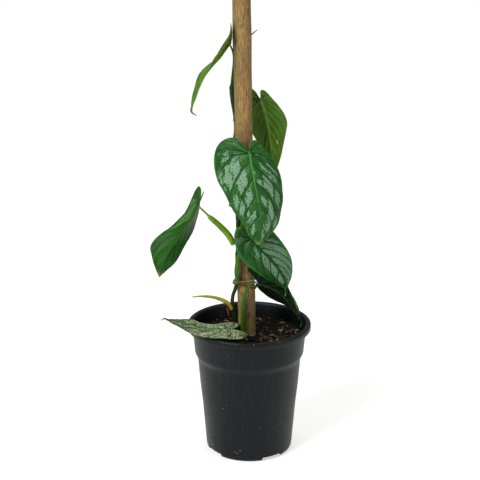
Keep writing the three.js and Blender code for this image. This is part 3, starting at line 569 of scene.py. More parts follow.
fleck = add("TexVoronoi", {"Vector": short, "Scale": 330.0})
fleckSize = add("MapRange", [cloud, 0.34, 0.66, 0.1, 0.3])
fleck = add("Math", [fleck.outputs["Distance"], fleckSize], operation="LESS_THAN")
fleck = add("Math", [fleck, 0.75], operation="MULTIPLY")
wood = layered(add, wood, [(band, "#6b5030"), (grey, "#786845"), (paintedGreenShade, "#6a6033"), (shade, "#60502f"),
                           (bloom, "#5d6a3c"), (fleck, "#3a2a17")])
rough = add("MapRange", [fibre, 0.3, 0.7, 0.72, 0.55])
bump = add("Bump", {"Strength": 0.8, "Distance": 0.0004, "Height": fibre})
feed(shader, {"Base Color": wood, "Roughness": rough, "Normal": bump})

stakeStations = [[*stakeCentre(z), stakePlan["radius"] + 0.18 * math.sin(z / 23) + 0.12 * math.sin(z / 9.1)]
                 for z in np.linspace(stakePlan["foot"][2] + 1, stakePlan["top"][2] - 1, 60)]
stake = limb("stake_dressed", stakeStations, weatheredWood, "stake", ["stake"], ringGap=1.6,
             flatEnds=stakePlan["edge"], Sides=96, Lumps=0.0011, Fibres=0.0006, Seed=3.0,
             **{"Lump width": 0.008, "Lump length": 0.05, "Fibre width": 0.0011, "Fibre length": 0.03})
print("stake set:", len(stake.data.polygons), "faces")

# Stems and stalks as (x, y, z, radius); they share the part's own lines
limbPlan = {
    "main_stem": [[-16.5, -1, 122, 2.6], [-16.5, -2, 151, 2.7], [-17.7, -3.6, 165, 2.4],
                  [-19.3, -5, 177, 2.2], [-18.4, -6, 186, 2.1], [-15.9, -8, 194, 2.2],
                  [-14, -10.1, 203.5, 2.4], [-13.6, -11, 215, 2.4], [-13, -11.5, 233, 2.9],
                  [-12.5, -12.5, 247, 2.6], [-12, -13.5, 265, 3.1], [-13.5, -13, 284, 2.4],
                  [-17.5, -10, 307, 2.3], [-20, -2, 330, 2.3], [-18, 7, 352, 2.3], [-15, 12, 370, 2.4],
                  [-15.5, 11.5, 386, 2.6], [-18.5, 9, 404, 2.4], [-19, 8, 417, 2.9],
                  [-16.5, 10.8, 430, 2.3], [-14, 12.3, 445, 2], [-13, 12.5, 466, 1.7], [-12, 12.5, 480, 1]],
    "petiole_1": [[-19.4, 5, 424, 1.4], [-18.3, 6.8, 434, 1.4], [-17.3, 8, 446, 1.25],
                  [-17.8, 7.6, 456, 1.1], [-21, 5.6, 464.4, 0.9]],
    "petiole_2": [[-9.5, 14, 384, 2], [-3, 15, 391, 1.6], [4, 17, 396, 1.4], [10.5, 18.5, 401, 1.3]],
    "petiole_3": [[-8.5, -17.5, 269, 2.2], [-5.5, -17, 293, 1.8], [-2, -19, 322, 1.6],
                  [-0.5, -21.5, 344, 1.5], [-0.5, -24, 353.5, 1.4], [-0.5, -27, 354, 1.2]],
    "petiole_4": [[-13.9, -16, 206.2, 2.2], [-13.8, -17, 219, 3], [-12.6, -17.5, 232, 2.5],
                  [-9.5, -18.8, 242.5, 1.9], [-4.5, -21, 251, 1.6], [0.5, -23.5, 256, 1.3]],
    "petiole_5": [[-17.8, -15.5, 249, 3.1], [-23.5, -14.5, 259, 3.5], [-33.5, -14, 270, 3.2],
                  [-42.5, -13.5, 278, 2.8], [-46, -13, 281.5, 1.3], [-51, -13, 286.5, 1.1],
                  [-55.5, -13, 291, 1.1]],
    "petiole_6": [[-7, -14.5, 122, 2.7], [-7.2, -14.8, 145, 2.8], [-7.3, -15, 168, 2.8],
                  [-6.4, -15.2, 178, 2.6], [-6.2, -15.4, 185.8, 2.3], [-4.8, -15.7, 191.2, 1.9],
                  [-2.5, -16, 196, 1.6], [0.4, -16, 200.1, 1.4], [3, -16, 203.2, 1.2],
                  [5.8, -15.9, 204.6, 1], [8, -16, 203.8, 0.85]],
    "petiole_7": [[-21.5, -10, 122, 2], [-22.5, -12.5, 135, 1.8], [-25, -20, 146, 1.5],
                  [-27, -26, 150.6, 1.2]],
    "new_shoot": [[-19.7, -9, 170.2, 2.1], [-23.9, -9, 177, 2.3], [-32.2, -9.5, 182, 2.1],
                  [-42, -10, 185, 1.7], [-53.5, -10, 185.9, 1.1], [-64.5, -9, 184.7, 0.5]],
    "red_scale": [[-25.3, -11, 173.4, 0.9], [-24.3, -11, 169, 1.2], [-22.9, -11, 162.7, 0.7]],
    "upper_root": [[-9.5, 12.8, 466, 0.9], [-4, 13.5, 469, 0.8], [2, 12.5, 475, 0.7], [7.5, 11, 480, 0.5]],
    "root_stub": [[-18.6, -13.8, 291.8, 1.1], [-20.5, -13.5, 291.5, 1.1], [-22.6, -13, 293.3, 0.9]],
}
limbKnots = {"main_stem": [(204, 0.35, 1.4), (236, 0.45, 1.6), (262, 0.5, 1.8), (291, 0.4, 1.5),
                           (344, 0.4, 1.5), (382, 0.5, 1.8), (418, 0.5, 1.8), (449, 0.35, 1.3),
                           (164, 0.3, 1.3)], "petiole_3": [(345, 0.25, 4.0)],
             "petiole_4": [(219, 0.2, 5.0)], "petiole_6": [(172, 0.2, 1.0)]}
limbLooks = {
    # green by name: (shaded, lit, streak, gloss roughness)
    "stem": ("#061c05", "#15380e", "#3c5620", 0.42),
    "low stalk": ("#1f4003", "#386204", "#5f7c1c", 0.4),
    "stalk": ("#244602", "#3a6203", "#66841c", 0.38),
    "sheath": ("#375e03", "#588706", "#8dab26", 0.36),
    "shoot": ("#6f6c0c", "#8e8a1c", "#aca750", 0.45),
    "scale": ("#4b150c", "#7c2a17", "#a3603c", 0.55),
    "root": ("#5c4023", "#7f5e38", "#a38458", 0.75),
}


def limbMaterial(name, shade, lit, streakColour, gloss):
    # fresh plant skin: thin waxy cuticle, a soft gloss, fine streaks along the limb and a few pale pores
    material, shader, add = newMaterial(name, Roughness=gloss, IOR=1.42, Specular_IOR_Level=0.3)
    spot = add("TexCoord").outputs["Object"]
    cloud = add("TexNoise", {"Vector": spot, "Scale": 85.0, "Detail": 3.0})
    cloud = add("MapRange", [cloud, 0.32, 0.68])
    tall = add("Mapping", {"Vector": spot, "Scale": (1.0, 1.0, 0.09)})
    streak = add("TexNoise", {"Vector": tall, "Scale": 1300.0, "Detail": 2.0})
    streakMix = add("MapRange", [streak, 0.5, 0.74, 0.0, 0.45])
    pores = add("TexVoronoi", {"Vector": tall, "Scale": 900.0})
    pores = add("Math", [pores.outputs["Distance"], 0.12], operation="LESS_THAN")
    pores = add("Math", [pores, 0.35], operation="MULTIPLY")
    tone = layered(add, shade, [(cloud, lit), (streakMix, streakColour), (pores, streakColour)])
    bump = add("Bump", {"Strength": 0.5, "Distance": 0.00012, "Height": streak})
    feed(shader, {"Base Color": tone, "Normal": bump})
    return material


limbSkins = {key: limbMaterial(f"{key} skin, grown and waxy", *look) for key, look in limbLooks.items()}
limbWear = {"main_stem": "stem", "petiole_1": "stalk", "petiole_2": "stalk", "petiole_3": "stalk",
            "petiole_4": "stalk", "petiole_5": "sheath", "petiole_6": "low stalk", "petiole_7": "low stalk",
            "new_shoot": "shoot", "red_scale": "scale", "upper_root": "root", "root_stub": "root"}
limbSlots = {"sheath": "stalk", "low stalk": "stalk"}  # the others are named as their skins
for name, skin in limbWear.items():
    limb(name + "_dressed", limbPlan[name], limbSkins[skin], limbSlots.get(skin, skin), [name],
         limbKnots.get(name, ()), Lumps=0.0003, Fibres=0.00012, Seed=float(len(name)),
         **{"Lump width": 0.004, "Lump length": 0.012})
rootlets = runNodes(pathObject("rootlets", [smoothLine(line, 40)[0] for line in rootletLines(rootletPlan)]),
                    limbTree("rootlets", limbSkins["root"]), {**limbSizes, "Sides": 8})
fitPiece(rootlets, "root")
print("limbs grown:", len(limbWear), "and", rootletPlan["count"], "rootlets")

# Leaves: each blade has its midrib line, the way its upper face looks along it, and each half's margin as
# (along, across) from the notch, in mm. Bends are (fold, curl per 40 mm) in degrees. Veins are the shares
# of the margin where a lateral vein ends. Silver patches are (vein cell, half width, middle, half length,
# strength): cells count from the base, and middle runs from 0 at the midrib to 1 at the margin. On leaf 5
# the patches are a painted sheen on the underside, not silver.
leafPlan = {
    "leaf_1": {
        "midrib": [[-21.5, 5, 467], [-27.5, 3, 459], [-33, 1, 451.5], [-41, -1, 443], [-49.5, -2, 431.5],
                   [-57, -2, 416.5], [-63, -1, 396], [-57.5, 0, 389]],
        "facing": [[-0.75, 0.085, 0.6], [-0.8, 0.03, 0.5], [-0.87, -0.16, 0.42], [-0.92, -0.28, 0.39],
                   [-0.9, -0.2, 0.4]],
        "left": [[-6, 6], [-11, 11], [-15, 17], [-11, 22], [0, 24], [15, 23.5], [32, 21.5], [50, 17.5],
                 [65, 11], [77, 4], [83, 0.9]],
        "right": [[-6, 6], [-12, 11], [-16, 16], [-12, 21.5], [0, 24], [15, 23.5], [32, 21.5], [50, 17],
                  [65, 10], [77, 4], [83, 0.9]],
        "leftBend": [[3, 0], [3, 0], [5, 0], [2, 0], [0, 0]],
        "rightBend": [[11, 0], [11, 0], [9, 0], [5, 0], [0, 0]],
        "lobeLift": 3.0,
    },
    "leaf_2": {
        "midrib": [[12.5, 20, 402], [16.5, 23, 389], [20, 25, 373], [22.5, 25, 357], [25, 23, 340.5],
                   [28.5, 18, 321]],
        "facing": [[0.1, 1, 0.2], [0, 1, 0.05], [0, 1, -0.1]],
        "left": [[-5, 1.5], [-11, 2.5], [-10.5, 6], [-5, 9.5], [4, 13], [13, 17], [22, 21], [32, 23],
                 [42, 20], [54, 15], [64, 11], [74, 6]],
        "right": [[-5, 2], [-12, 3.5], [-16, 8], [-14, 14], [-6, 19], [6, 22], [20, 23], [34, 21],
                  [44, 16.5], [54, 11.5], [66, 7], [76, 4]],
        "leftBend": [[15, 20], [15, 20], [10, 20]],
        "rightBend": [[15, 20], [15, 20], [10, 20]], "lobeLift": 0.3,
        "veins": {"left": [0.06, 0.13, 0.22, 0.3, 0.38, 0.47, 0.56, 0.66, 0.82],
                  "right": [0.06, 0.13, 0.22, 0.3, 0.38, 0.47, 0.56, 0.66, 0.82]},
    },
    "leaf_3": {
        "midrib": [[-0.5, -29, 353.5], [3.5, -37, 332.5], [7.5, -41, 311.5], [11.5, -41, 286],
                   [8, -37, 254.5]],
        "facing": [[-0.05, -1, 0.3], [0, -1, 0.1], [0.05, -1, -0.05]],
        "left": [[-6, 1.5], [-18, 9], [-22, 18], [-20, 30], [-12, 39], [2, 44], [20, 43], [34, 38],
                 [50, 33], [69, 27], [84, 17], [95, 7]],
        "right": [[-6, 1.5], [-13, 5], [-14, 10], [-8, 16], [2, 24], [14, 32], [28, 37], [42, 38], [57, 35],
                  [69, 27], [80, 23], [90, 15], [98, 8]],
        "leftBend": [[-6, -30], [-8, -25], [-8, -25]], "rightBend": [[-16, -45], [-22, -40], [-16, -30]],
        "lobeLift": -0.3,
        "veins": {"left": [0.09, 0.185, 0.272, 0.405, 0.53, 0.645, 0.79, 0.91],
                  "right": [0.1, 0.215, 0.305, 0.42, 0.555, 0.71, 0.85]},
        "silver": {
            "left": [[2.6, 0.34, 0.66, 0.12, 0.6], [2.8, 0.2, 0.3, 0.12, 0.65],
                     [3.5, 0.46, 0.5, 0.21, 0.62], [3.72, 0.25, 0.38, 0.11, 0.85],
                     [3.6, 0.38, 0.68, 0.12, 0.8], [3.3, 0.34, 0.87, 0.09, 0.6],
                     [4.5, 0.4, 0.34, 0.17, 0.9], [4.9, 0.55, 0.73, 0.13, 0.72],
                     [5.6, 0.36, 0.28, 0.15, 0.9], [5.3, 0.34, 0.62, 0.13, 0.75],
                     [6.8, 0.3, 0.3, 0.14, 0.85], [6.7, 0.25, 0.56, 0.14, 0.7],
                     [6.25, 0.24, 0.48, 0.08, 0.7], [5.9, 0.24, 0.8, 0.12, 0.65],
                     [7.5, 0.3, 0.5, 0.19, 0.7]],
            "right": [[2.5, 0.2, 0.33, 0.12, 0.6], [2.9, 0.18, 0.68, 0.17, 0.75],
                      [3.35, 0.18, 0.62, 0.16, 0.7], [3.6, 0.25, 0.4, 0.16, 0.6],
                      [4.45, 0.42, 0.42, 0.16, 0.85], [4.35, 0.36, 0.75, 0.12, 0.7],
                      [5.6, 0.2, 0.23, 0.11, 0.85], [5.6, 0.4, 0.52, 0.14, 0.85],
                      [4.75, 0.2, 0.14, 0.09, 0.7], [5.4, 0.35, 0.8, 0.12, 0.6],
                      [6.4, 0.36, 0.46, 0.17, 0.75], [7.2, 0.4, 0.42, 0.2, 0.65]],
        },
    },
    "leaf_4": {
        "midrib": [[3, -26, 257.5], [6.2, -27.9, 253.4], [11.9, -30.1, 247.1], [18.2, -31.5, 241.2],
                   [24.4, -32.2, 234.9], [29.9, -32.3, 227.8], [34.1, -31.6, 221.1], [38.5, -29.8, 211.8],
                   [39.9, -28, 204.3], [39.5, -26, 191.5]],
        "facing": [[-0.1, -1, 0.3], [0, -1, 0.3], [0.1, -1, 0.2]],
        "left": [[-8, 0.5], [-15.7, 0.6], [-20, 5.5], [-16.4, 12.3], [-9.5, 17.2], [-1.5, 20.5], [9, 22.9],
                 [23.2, 22.9], [35.6, 22.4], [46.1, 20.7], [55, 17.6], [63.8, 13.6], [68.1, 7],
                 [72.2, 0.9]],
        "right": [[-6.7, 4.3], [-10.6, 10.7], [-6.8, 18], [-0.3, 22.3], [9, 24.4], [19.2, 24.5], [28, 23.5],
                  [38.4, 21.5], [45.5, 19.3], [52.9, 15.2], [59.2, 10.2], [65, 4.3], [72, 0.7]],
        "leftBend": [[4, -10], [-6, -25], [-14, -35], [-22, -40], [-30, -30]],
        "rightBend": [[-10, -20], [-14, -25], [-15, -30], [-15, -25]],
        "lobeLift": 0.5,
        "veins": {"left": [0.07, 0.16, 0.26, 0.37, 0.48, 0.6, 0.73, 0.88],
                  "right": [0.09, 0.21, 0.335, 0.455, 0.55, 0.66, 0.78, 0.9]},
        "silver": {
            "left": [[4.3, 0.5, 0.3, 0.2, 0.6], [5.5, 0.5, 0.26, 0.22, 0.8], [6.5, 0.5, 0.25, 0.2, 0.9],
                     [7.4, 0.45, 0.25, 0.2, 0.75]],
            "right": [[2.75, 0.25, 0.6, 0.3, 0.6], [3.5, 0.5, 0.52, 0.46, 0.85],
                      [4.5, 0.5, 0.5, 0.46, 0.95], [5.5, 0.5, 0.5, 0.46, 0.95], [6.5, 0.5, 0.5, 0.44, 0.9],
                      [7.35, 0.4, 0.5, 0.36, 0.7]],
        },
    },
    "leaf_5": {
        "midrib": [[-56.5, -12, 291.5], [-64.5, -9, 274.5], [-76, -6, 256.5], [-87.5, -5, 240],
                   [-96.5, -6, 222.5], [-101, -9, 208]],
        "facing": [[0, 1, 0.2], [0, 1, 0.1], [0, 1, 0]],
        "left": [[-5, 2], [-11, 6], [-14, 12], [-8, 20], [2, 23], [14, 23], [25, 22], [36, 22], [46, 19],
                 [56, 16.5], [67, 14.5], [77, 11.5], [87, 6]],
        "right": [[-5, 2], [-11, 5], [-15, 12], [-14, 20], [-5, 24], [8, 22], [24, 20], [40, 20],
                  [54, 21.5], [64, 22.5], [71, 21], [78, 15], [86, 8]],
        "leftBend": [[84, 0], [66, 0], [46, 0], [18, 0], [5, 0]],
        "rightBend": [[74, 0], [70, 0], [53, 0], [14, 0], [5, 0]],
        "lobeLift": 0.0, "quilt": 0.5,
        # painted sheen: these patches light a satin band along the underside
        "silver": {"left": [], "right": [[2.9, 0.5, 0.55, 0.35, 0.6], [4.0, 0.7, 0.55, 0.36, 0.75]]},
    },
    "leaf_6": {
        "midrib": [[10, -14, 202], [17.5, -12, 199], [24, -9, 195.5], [33, -6, 189], [42, -5, 179.5],
                   [50.5, -7, 167], [56.5, -9, 159], [59, -9, 154], [58, -9, 148.5]],
        "facing": [[0.2, 0.95, 0.15], [0.1, 0.85, 0.35], [0.1, 0.9, 0.2]],
        "left": [[-6, 5], [-13, 9], [-19, 13], [-16, 18], [-6, 21], [6, 21], [18, 20], [30, 19], [42, 17],
                 [52, 12], [60, 5], [67, 0.9]],
        "right": [[-3, 1], [0, 4.5], [7, 9.5], [17, 13.5], [27, 17], [36, 17], [44, 13.5], [52, 9], [60, 4],
                  [67, 0.9]],
        "leftBend": [[8, -10], [5, -60], [25, -260], [25, -380], [10, -200]],
        "rightBend": [[10, 0], [10, 0], [25, 0], [60, 0], [60, 0]], "lobeLift": 0.0,
        "silver": {"left": [[7.0, 2.0, 0.74, 0.28, 0.95]], "right": []},
    },
    "leaf_7": {
        "midrib": [[-27.5, -28, 153.3], [-44, -29.5, 154], [-61, -27.5, 156.5], [-77.5, -23, 159.5],
                   [-92.5, -19.5, 161.5], [-95, -19.5, 162.5], [-99.5, -21.5, 161.5]],
        "facing": [[-0.05, 0, 1], [-0.1, 0, 1], [0.2, 0, 1]],
        "left": [[-7, 1.3], [-13, 5], [-17, 12], [-15, 19], [-9, 21.5], [5, 19], [17, 15.5], [28, 13],
                 [42, 13.5], [50, 11], [58, 5.5], [67, 0.9]],
        "right": [[-8, 1.3], [-14, 3.5], [-20, 8], [-23, 17], [-19, 27], [-11, 31.5], [-4, 31.5], [10, 28],
                  [20, 25.5], [30, 22.5], [41, 17], [53, 12], [62, 5], [67, 0.9]],
        "leftBend": [[0, 0], [2, 0], [4, 0]], "rightBend": [[0, 0], [0, 0], [2, 0],
                                                            [0, 0]], "lobeLift": 0.0,
        "silver": {"left": [[2.5, 3.0, 0.5, 0.6, 0.55], [6.5, 1.5, 0.4, 0.4, 0.4]],
                   "right": [[2.5, 3.0, 0.5, 0.6, 0.55], [6.5, 1.5, 0.4, 0.4, 0.4]]},
    },
}
usualVeins = [0.07, 0.16, 0.26, 0.37, 0.48, 0.6, 0.73, 0.88]
veinDefault = {"left": usualVeins, "right": usualVeins}
bladeForm = {
    "lineSteps": 61, "turns": 168, "steps": 26, "slices": 6,
    "fan": 0.33, "rootPower": 1.1, "alongPower": 1.2, "stepPower": 1.25,
    "sweep": 0.25, "sweepPower": 1.2, "leanFrom": 0.04, "leanIn": 0.3, "leanOut": 0.4, "curlSpan": 40,
    "reachOut": 0.04,  # share of the midrib on both sides of a spot that its direction is taken over
    "leftCells": 20,  # added to the vein cells of the left half, so that its noise differs
    "thickness": 0.74, "marginThickness": 0.4, "marginSlope": 6, "rimBulge": 0.22,
    "veinDepth": 0.65, "veinWidth": 1.1, "quilt": 1.2,
    "quiltGap": 9,  # mm between veins from which a cell swells fully
    "midribGroove": 0.5, "midribRidge": 0.85, "midribWidth": 1.3, "ruffle": 0.35, "ruffleWaves": 21,
}


def unit(v):
    return v / np.maximum(np.linalg.norm(v, axis=-1, keepdims=True), 1e-12)


def atShare(values, share):
    values = np.asarray(values, float)
    knots = np.linspace(0, 1, len(values))
    return np.stack([np.interp(share, knots, values[:, k]) for k in range(values.shape[1])], -1)


def bladePoints(plan, midrib, length, along, across, half):
    # points of one half of a blade, half being -1 for the left and 1 for the right, and its upward direction
    share = np.clip(along / length, 0, 1)
    near = bladeForm["reachOut"]
    tangent = unit(atShare(midrib, share + near) - atShare(midrib, share - near))
    facing = atShare(unit(np.array(plan["facing"], float)), share)
    up = unit(facing - tangent * (facing * tangent).sum(-1, keepdims=True))
    bend = atShare(plan["leftBend" if half < 0 else "rightBend"], share)
    out, rise = np.zeros_like(across), np.zeros_like(across)
    slices = bladeForm["slices"]
    for k in range(slices):
        curl = bend[..., 1] * ((k + 0.5) / slices) * across / bladeForm["curlSpan"]
        angle = np.radians(bend[..., 0] + curl)
        out = out + across / slices * np.cos(angle)
        rise = rise + across / slices * np.sin(angle)
    back = np.maximum(-along, 0)[..., None]
    start = atShare(midrib, share) - tangent * back + up * plan["lobeLift"] * back ** 2 / length
    return start + np.cross(up, tangent) * (out * half)[..., None] + up * rise[..., None], up


def silverBias(patches, cell, s):
    # how strongly each spot is silvered (on leaf 5's underside: lit by a painted sheen), from 0 to about 1,
    # before the material breaks its edges up
    bias = np.zeros_like(s)
    for middle, halfWidth, centre, halfLength, strength in patches:
        reach = np.maximum(np.abs(cell - middle) / halfWidth, np.abs(s - centre) / halfLength)
        bias = np.maximum(bias, strength * np.clip((1.2 - reach) * 2.2, 0, 1))
    return bias


def leafMesh(name, plan, materials):
    form = bladeForm
    midrib, length = smoothLine(plan["midrib"], form["lineSteps"])
    turns, steps = form["turns"], form["steps"]
    turn = np.linspace(0, 1, turns + 1)
    root = np.maximum(0, (turn - form["fan"]) / (1 - form["fan"])) ** form["rootPower"] * length
    s = (np.arange(steps + 1) / steps) ** form["stepPower"]
    bases, mids, ups, corners = [], [], [], []
    for half, side in ((-1, "left"), (1, "right")):
        edge = smoothLine([[0, 0, 0]] + [[a, c, 0] for a, c in plan[side]] + [[length, 0, 0]], turns + 1)[0]
        # rows run as the lateral veins do, swept towards the tip
        lean = np.clip((turn - form["leanFrom"]) / form["leanIn"], 0, 1)
        lean = lean * np.clip((1 - turn) / form["leanOut"], 0, 1)
        swept = turn[:, None] + form["sweep"] * lean[:, None] * s ** form["sweepPower"]
        start, edgeAlong, edgeAcross = (np.interp(swept, turn, line)
                                        for line in (root, edge[:, 0], edge[:, 1]))
        along = start + (edgeAlong - start) * s ** form["alongPower"]
        across = edgeAcross * s
        spot, up = bladePoints(plan, midrib, length, along, across, half)
        veins = plan.get("veins", veinDefault)[side]
        cell = np.interp(turn, [0.0] + veins + [1.0], np.arange(len(veins) + 2))
        perCell = np.maximum(np.gradient(cell), 1e-6)[:, None]
        gap = np.linalg.norm(np.gradient(spot, axis=0), axis=-1) / perCell
        nearest = np.abs(cell - np.round(cell))[:, None] * gap
        inside = np.clip(s / 0.06, 0, 1) * np.clip((turn * (1 - turn))[:, None] * 30, 0, 1)
        relief = -form["veinDepth"] * np.exp(-(nearest / form["veinWidth"]) ** 2) * np.clip(1.25 - s, 0, 1)
        puff = form["quilt"] * np.sin(math.pi * cell)[:, None] ** 2
        relief = relief + puff * np.clip(gap / form["quiltGap"], 0, 1) * (1 - s ** 3)
        relief = relief * inside * plan.get("quilt", 1.0)
        wave = np.sin(turn * form["ruffleWaves"] + 2 * half + len(plan["midrib"]))[:, None]
        relief = relief + form["ruffle"] * wave * s ** 4 * inside
        tipward = np.clip(1.15 - np.clip(along / length, 0, 1), 0, 1)
        groove = form["midribGroove"] * np.exp(-(across / form["midribWidth"]) ** 2) * tipward
        bases.append(spot)
        mids.append(spot + up * (relief - groove)[..., None])
        ups.append(up)
        cells, shares = np.meshgrid(cell, s, indexing="ij")
        bias = silverBias(plan.get("silver", {}).get(side, []), cells, shares)
        cells = cells + (form["leftCells"] if half < 0 else 0)
        corners.append(np.stack([cells, shares, along / 100, across * half / 100, gap / 10, bias], -1))
    base, mid, up = (np.concatenate([part.reshape(-1, 3) for part in parts])
                     for parts in (bases, mids, ups))
    corner = np.concatenate([part.reshape(-1, 6) for part in corners])
    _, first, weld = np.unique(np.round(base, 3), axis=0, return_index=True, return_inverse=True)
    weld = weld.ravel()
    mid, up = mid[first], up[first]
    count, columns = len(mid), steps + 1
    topFaces, topCorners, rims = [], [], []
    for h in range(2):
        for i in range(turns):
            a, b = h * (turns + 1) * columns + i * columns, h * (turns + 1) * columns + (i + 1) * columns
            for j in range(steps):
                quad = [a + j, b + j, b + j + 1, a + j + 1]
                quad = quad[::-1] if h == 0 else quad
                kept = [q for k, q in enumerate(quad) if weld[q] != weld[quad[k - 1]]]
                if len({weld[q] for q in kept}) == len(kept) > 2:
                    topFaces.append([int(weld[q]) for q in kept])
                    topCorners.append(kept)
            if weld[a + steps] != weld[b + steps]:
                rims.append((a + steps, b + steps, h))
    normal = np.zeros_like(mid)
    for face in topFaces:
        p = mid[face]
        sides = (p[2] - p[0], p[-1] - p[1]) if len(face) == 4 else (p[1] - p[0], p[2] - p[0])
        normal[face] += np.cross(*sides)
    if (normal * up).sum() < 0:
        topFaces = [face[::-1] for face in topFaces]
        topCorners = [face[::-1] for face in topCorners]
        rims = [(b, a, h) for a, b, h in rims]
        normal = -normal
    normal = unit(normal)
    data = corner[first]
    inner = np.clip((1 - data[:, 1]) * form["marginSlope"], 0, 1)
    thick = form["marginThickness"] + (form["thickness"] - form["marginThickness"]) * inner
    ridge = form["midribRidge"] * np.exp(-(data[:, 3] * 100 / form["midribWidth"]) ** 2)
    ridge = ridge * np.clip(1.1 - np.clip(data[:, 2] * 100 / length, 0, 1), 0, 1)
    top = mid + normal * (thick / 2)[:, None]
    bottom = mid - normal * (thick / 2 + ridge)[:, None]
    # the rim bulges a little between the two faces
    outward = np.zeros_like(mid)
    for a, b, h in rims:
        for q in (a, b):
            outward[weld[q]] += mid[weld[q]] - mid[weld[q - 2]]
    outward = unit(outward)
    ringIds = sorted({int(weld[q]) for a, b, h in rims for q in (a, b)})
    ring = {k: 2 * count + n for n, k in enumerate(ringIds)}
    points = np.vstack([top, bottom, (mid + outward * form["rimBulge"])[ringIds]])
    faces, faceCorners, slots = list(topFaces), list(topCorners), [0] * len(topFaces)
    for face, at in zip(topFaces, topCorners):
        faces.append([v + count for v in face[::-1]])
        faceCorners.append(at[::-1])
        slots.append(1)
    for a, b, h in rims:
        p, q = (a, b) if h == 0 else (b, a)
        v, w = int(weld[p]), int(weld[q])
        faces += [[w, v, ring[v], ring[w]], [ring[w], ring[v], v + count, w + count]]
        faceCorners += [[q, p, p, q], [q, p, p, q]]
        slots += [0, 1]
    flat = np.array([q for face in faceCorners for q in face])
    uvs = {"flow": corner[flat, 0:2], "flat": corner[flat, 2:4], "gap": corner[flat, 4:6]}
    return meshFrom(name, place(points), faces, materials, slots, uvs)


def leafSkin(name, look, length):
    # living leaf: a thin cuticle over soft tissue, so satin and a little uneven; lateral veins lie darker or
    # paler than the cells between them, and on the upper face their dark band is widened into painted shade
    # in the sunken veins; silver is pale cells under the skin, broken by the veins, and the same patches
    # paint a sheen on leaf 5's underside
    material, shader, add = newMaterial(name, IOR=1.44, Specular_IOR_Level=look["sheen"])
    flow, flat, extra = (add("UVMap", uv_map=layer) for layer in ("flow", "flat", "gap"))
    cell, reach = add("SeparateXYZ", [flow]).outputs[:2]
    along, across = add("SeparateXYZ", [flat]).outputs[:2]
    gap, bias = add("SeparateXYZ", [extra]).outputs[:2]
    nearest = add("Math", [cell, 0.5], operation="PINGPONG")
    nearest = add("Math", [nearest, gap], operation="MULTIPLY")  # in centimetres
    share = add("Math", [along, length / 100], operation="DIVIDE")
    offMidrib = add("Math", [across], operation="ABSOLUTE")
    # noises: cloud 15 mm, streaks that run along the veins, specks 1.6 mm
    cloud = add("TexNoise", {"Vector": flat, "Scale": 7.0, "Detail": 3.0})
    stretched = add("Mapping", {"Vector": flow, "Scale": (look["streaks"], 6.5, 1.0)})
    streak = add("TexNoise", {"Vector": stretched, "Scale": 1.0, "Detail": 4.0, "Roughness": 0.66,
                              "Distortion": 0.5})
    speck = add("TexNoise", {"Vector": flat, "Scale": 62.0, "Detail": 3.0, "Roughness": 0.6})
    # green body
    cloud = add("MapRange", [cloud, 0.34, 0.66])
    between = add("MapRange", [streak, 0.45, 0.75, 0.0, look["streakMix"]])
    # silver, and the painted sheen of leaf 5's underside, kept off the veins and the midrib
    wide = add("Math", [streak, look["breakUp"], bias], operation="MULTIPLY_ADD")
    fine = add("Math", [speck, look["speckle"], wide], operation="MULTIPLY_ADD")
    middle = 0.54 + 0.5 * look["breakUp"] + 0.5 * look["speckle"]
    silver = add("MapRange", [fine, middle - 0.05, middle + 0.08], **smooth)
    for off, start, end in ((nearest, 0.03, 0.1), (offMidrib, 0.012, 0.02)):
        clear = add("MapRange", [off, start, end], **smooth)
        silver = add("Math", [silver, clear], operation="MULTIPLY")
    amount = add("MapRange", [speck, 0.36, 0.62, 0.4, 1.0])
    for factor in (silver, look["silverMix"]):
        amount = add("Math", [amount, factor], operation="MULTIPLY")
    # veins with painted shade along their grooves, midrib, margin and tip
    veinAndShade = add("MapRange", [nearest, 0.02, look["veinAndShadeReach"], look["veinAndShadeMix"], 0.0], **smooth)
    broken = add("MapRange", [streak, 0.36, 0.6, 0.5, 1.0])
    veinAndShade = add("Math", [veinAndShade, broken], operation="MULTIPLY")
    width = add("MapRange", [share, 0.0, 1.0, look["midribWidth"], 0.003])
    rib = add("Math", [offMidrib, width], operation="DIVIDE")
    rib = add("MapRange", [rib, 0.5, 1.1, 1.0, 0.0], **smooth)
    fade = add("MapRange", [share, 0.15, 0.9, 1.0, 0.25])
    rib = add("Math", [rib, fade], operation="MULTIPLY")
    edge = add("MapRange", [reach, look["marginFrom"], 1.0, 0.0, 0.6])
    tip = add("MapRange", [share, look["tipFrom"], 1.0], **smooth)
    layers = [(cloud, look["fresh"]), (between, look["streak"]), (amount, look["silver"]),
              (veinAndShade, look["veinAndShade"]), (rib, look["midrib"]), (edge, look["margin"]), (tip, look["tip"])]
    for spot, size, core, rim in look["scars"]:
        # healed damage: a core with a corky rim, placed by vein cell (with leftCells) and reach
        here = add("VectorMath", [flow, (*spot, 0.0)], operation="SUBTRACT")
        here = add("VectorMath", [here, (*size, 1.0)], operation="DIVIDE")
        here = add("VectorMath", [here], operation="LENGTH").outputs["Value"]
        here = add("Math", [speck, 1.4, here], operation="MULTIPLY_ADD")
        for border, colour in ((1.7, rim), (1.25, core)):
            layers.append((add("MapRange", [here, border - 0.15, border + 0.15, 1.0, 0.0]), colour))
    # gloss, then relief: a net of the smallest veins, about 1.6 mm, and a faint grain
    gloss = add("MapRange", {0: silver, 3: look["gloss"], 4: look["gloss"] + 0.08})
    net = add("TexVoronoi", {"Vector": flat, "Scale": 62.0}, feature="DISTANCE_TO_EDGE")
    height = add("MapRange", [net, 0.0, 0.25])
    height = add("Math", [streak, 1.5, height], operation="MULTIPLY_ADD")
    bump = add("Bump", {"Strength": look["relief"], "Distance": 0.00014, "Height": height})
    feed(shader, {"Base Color": layered(add, look["deep"], layers), "Roughness": gloss, "Normal": bump})
    return material


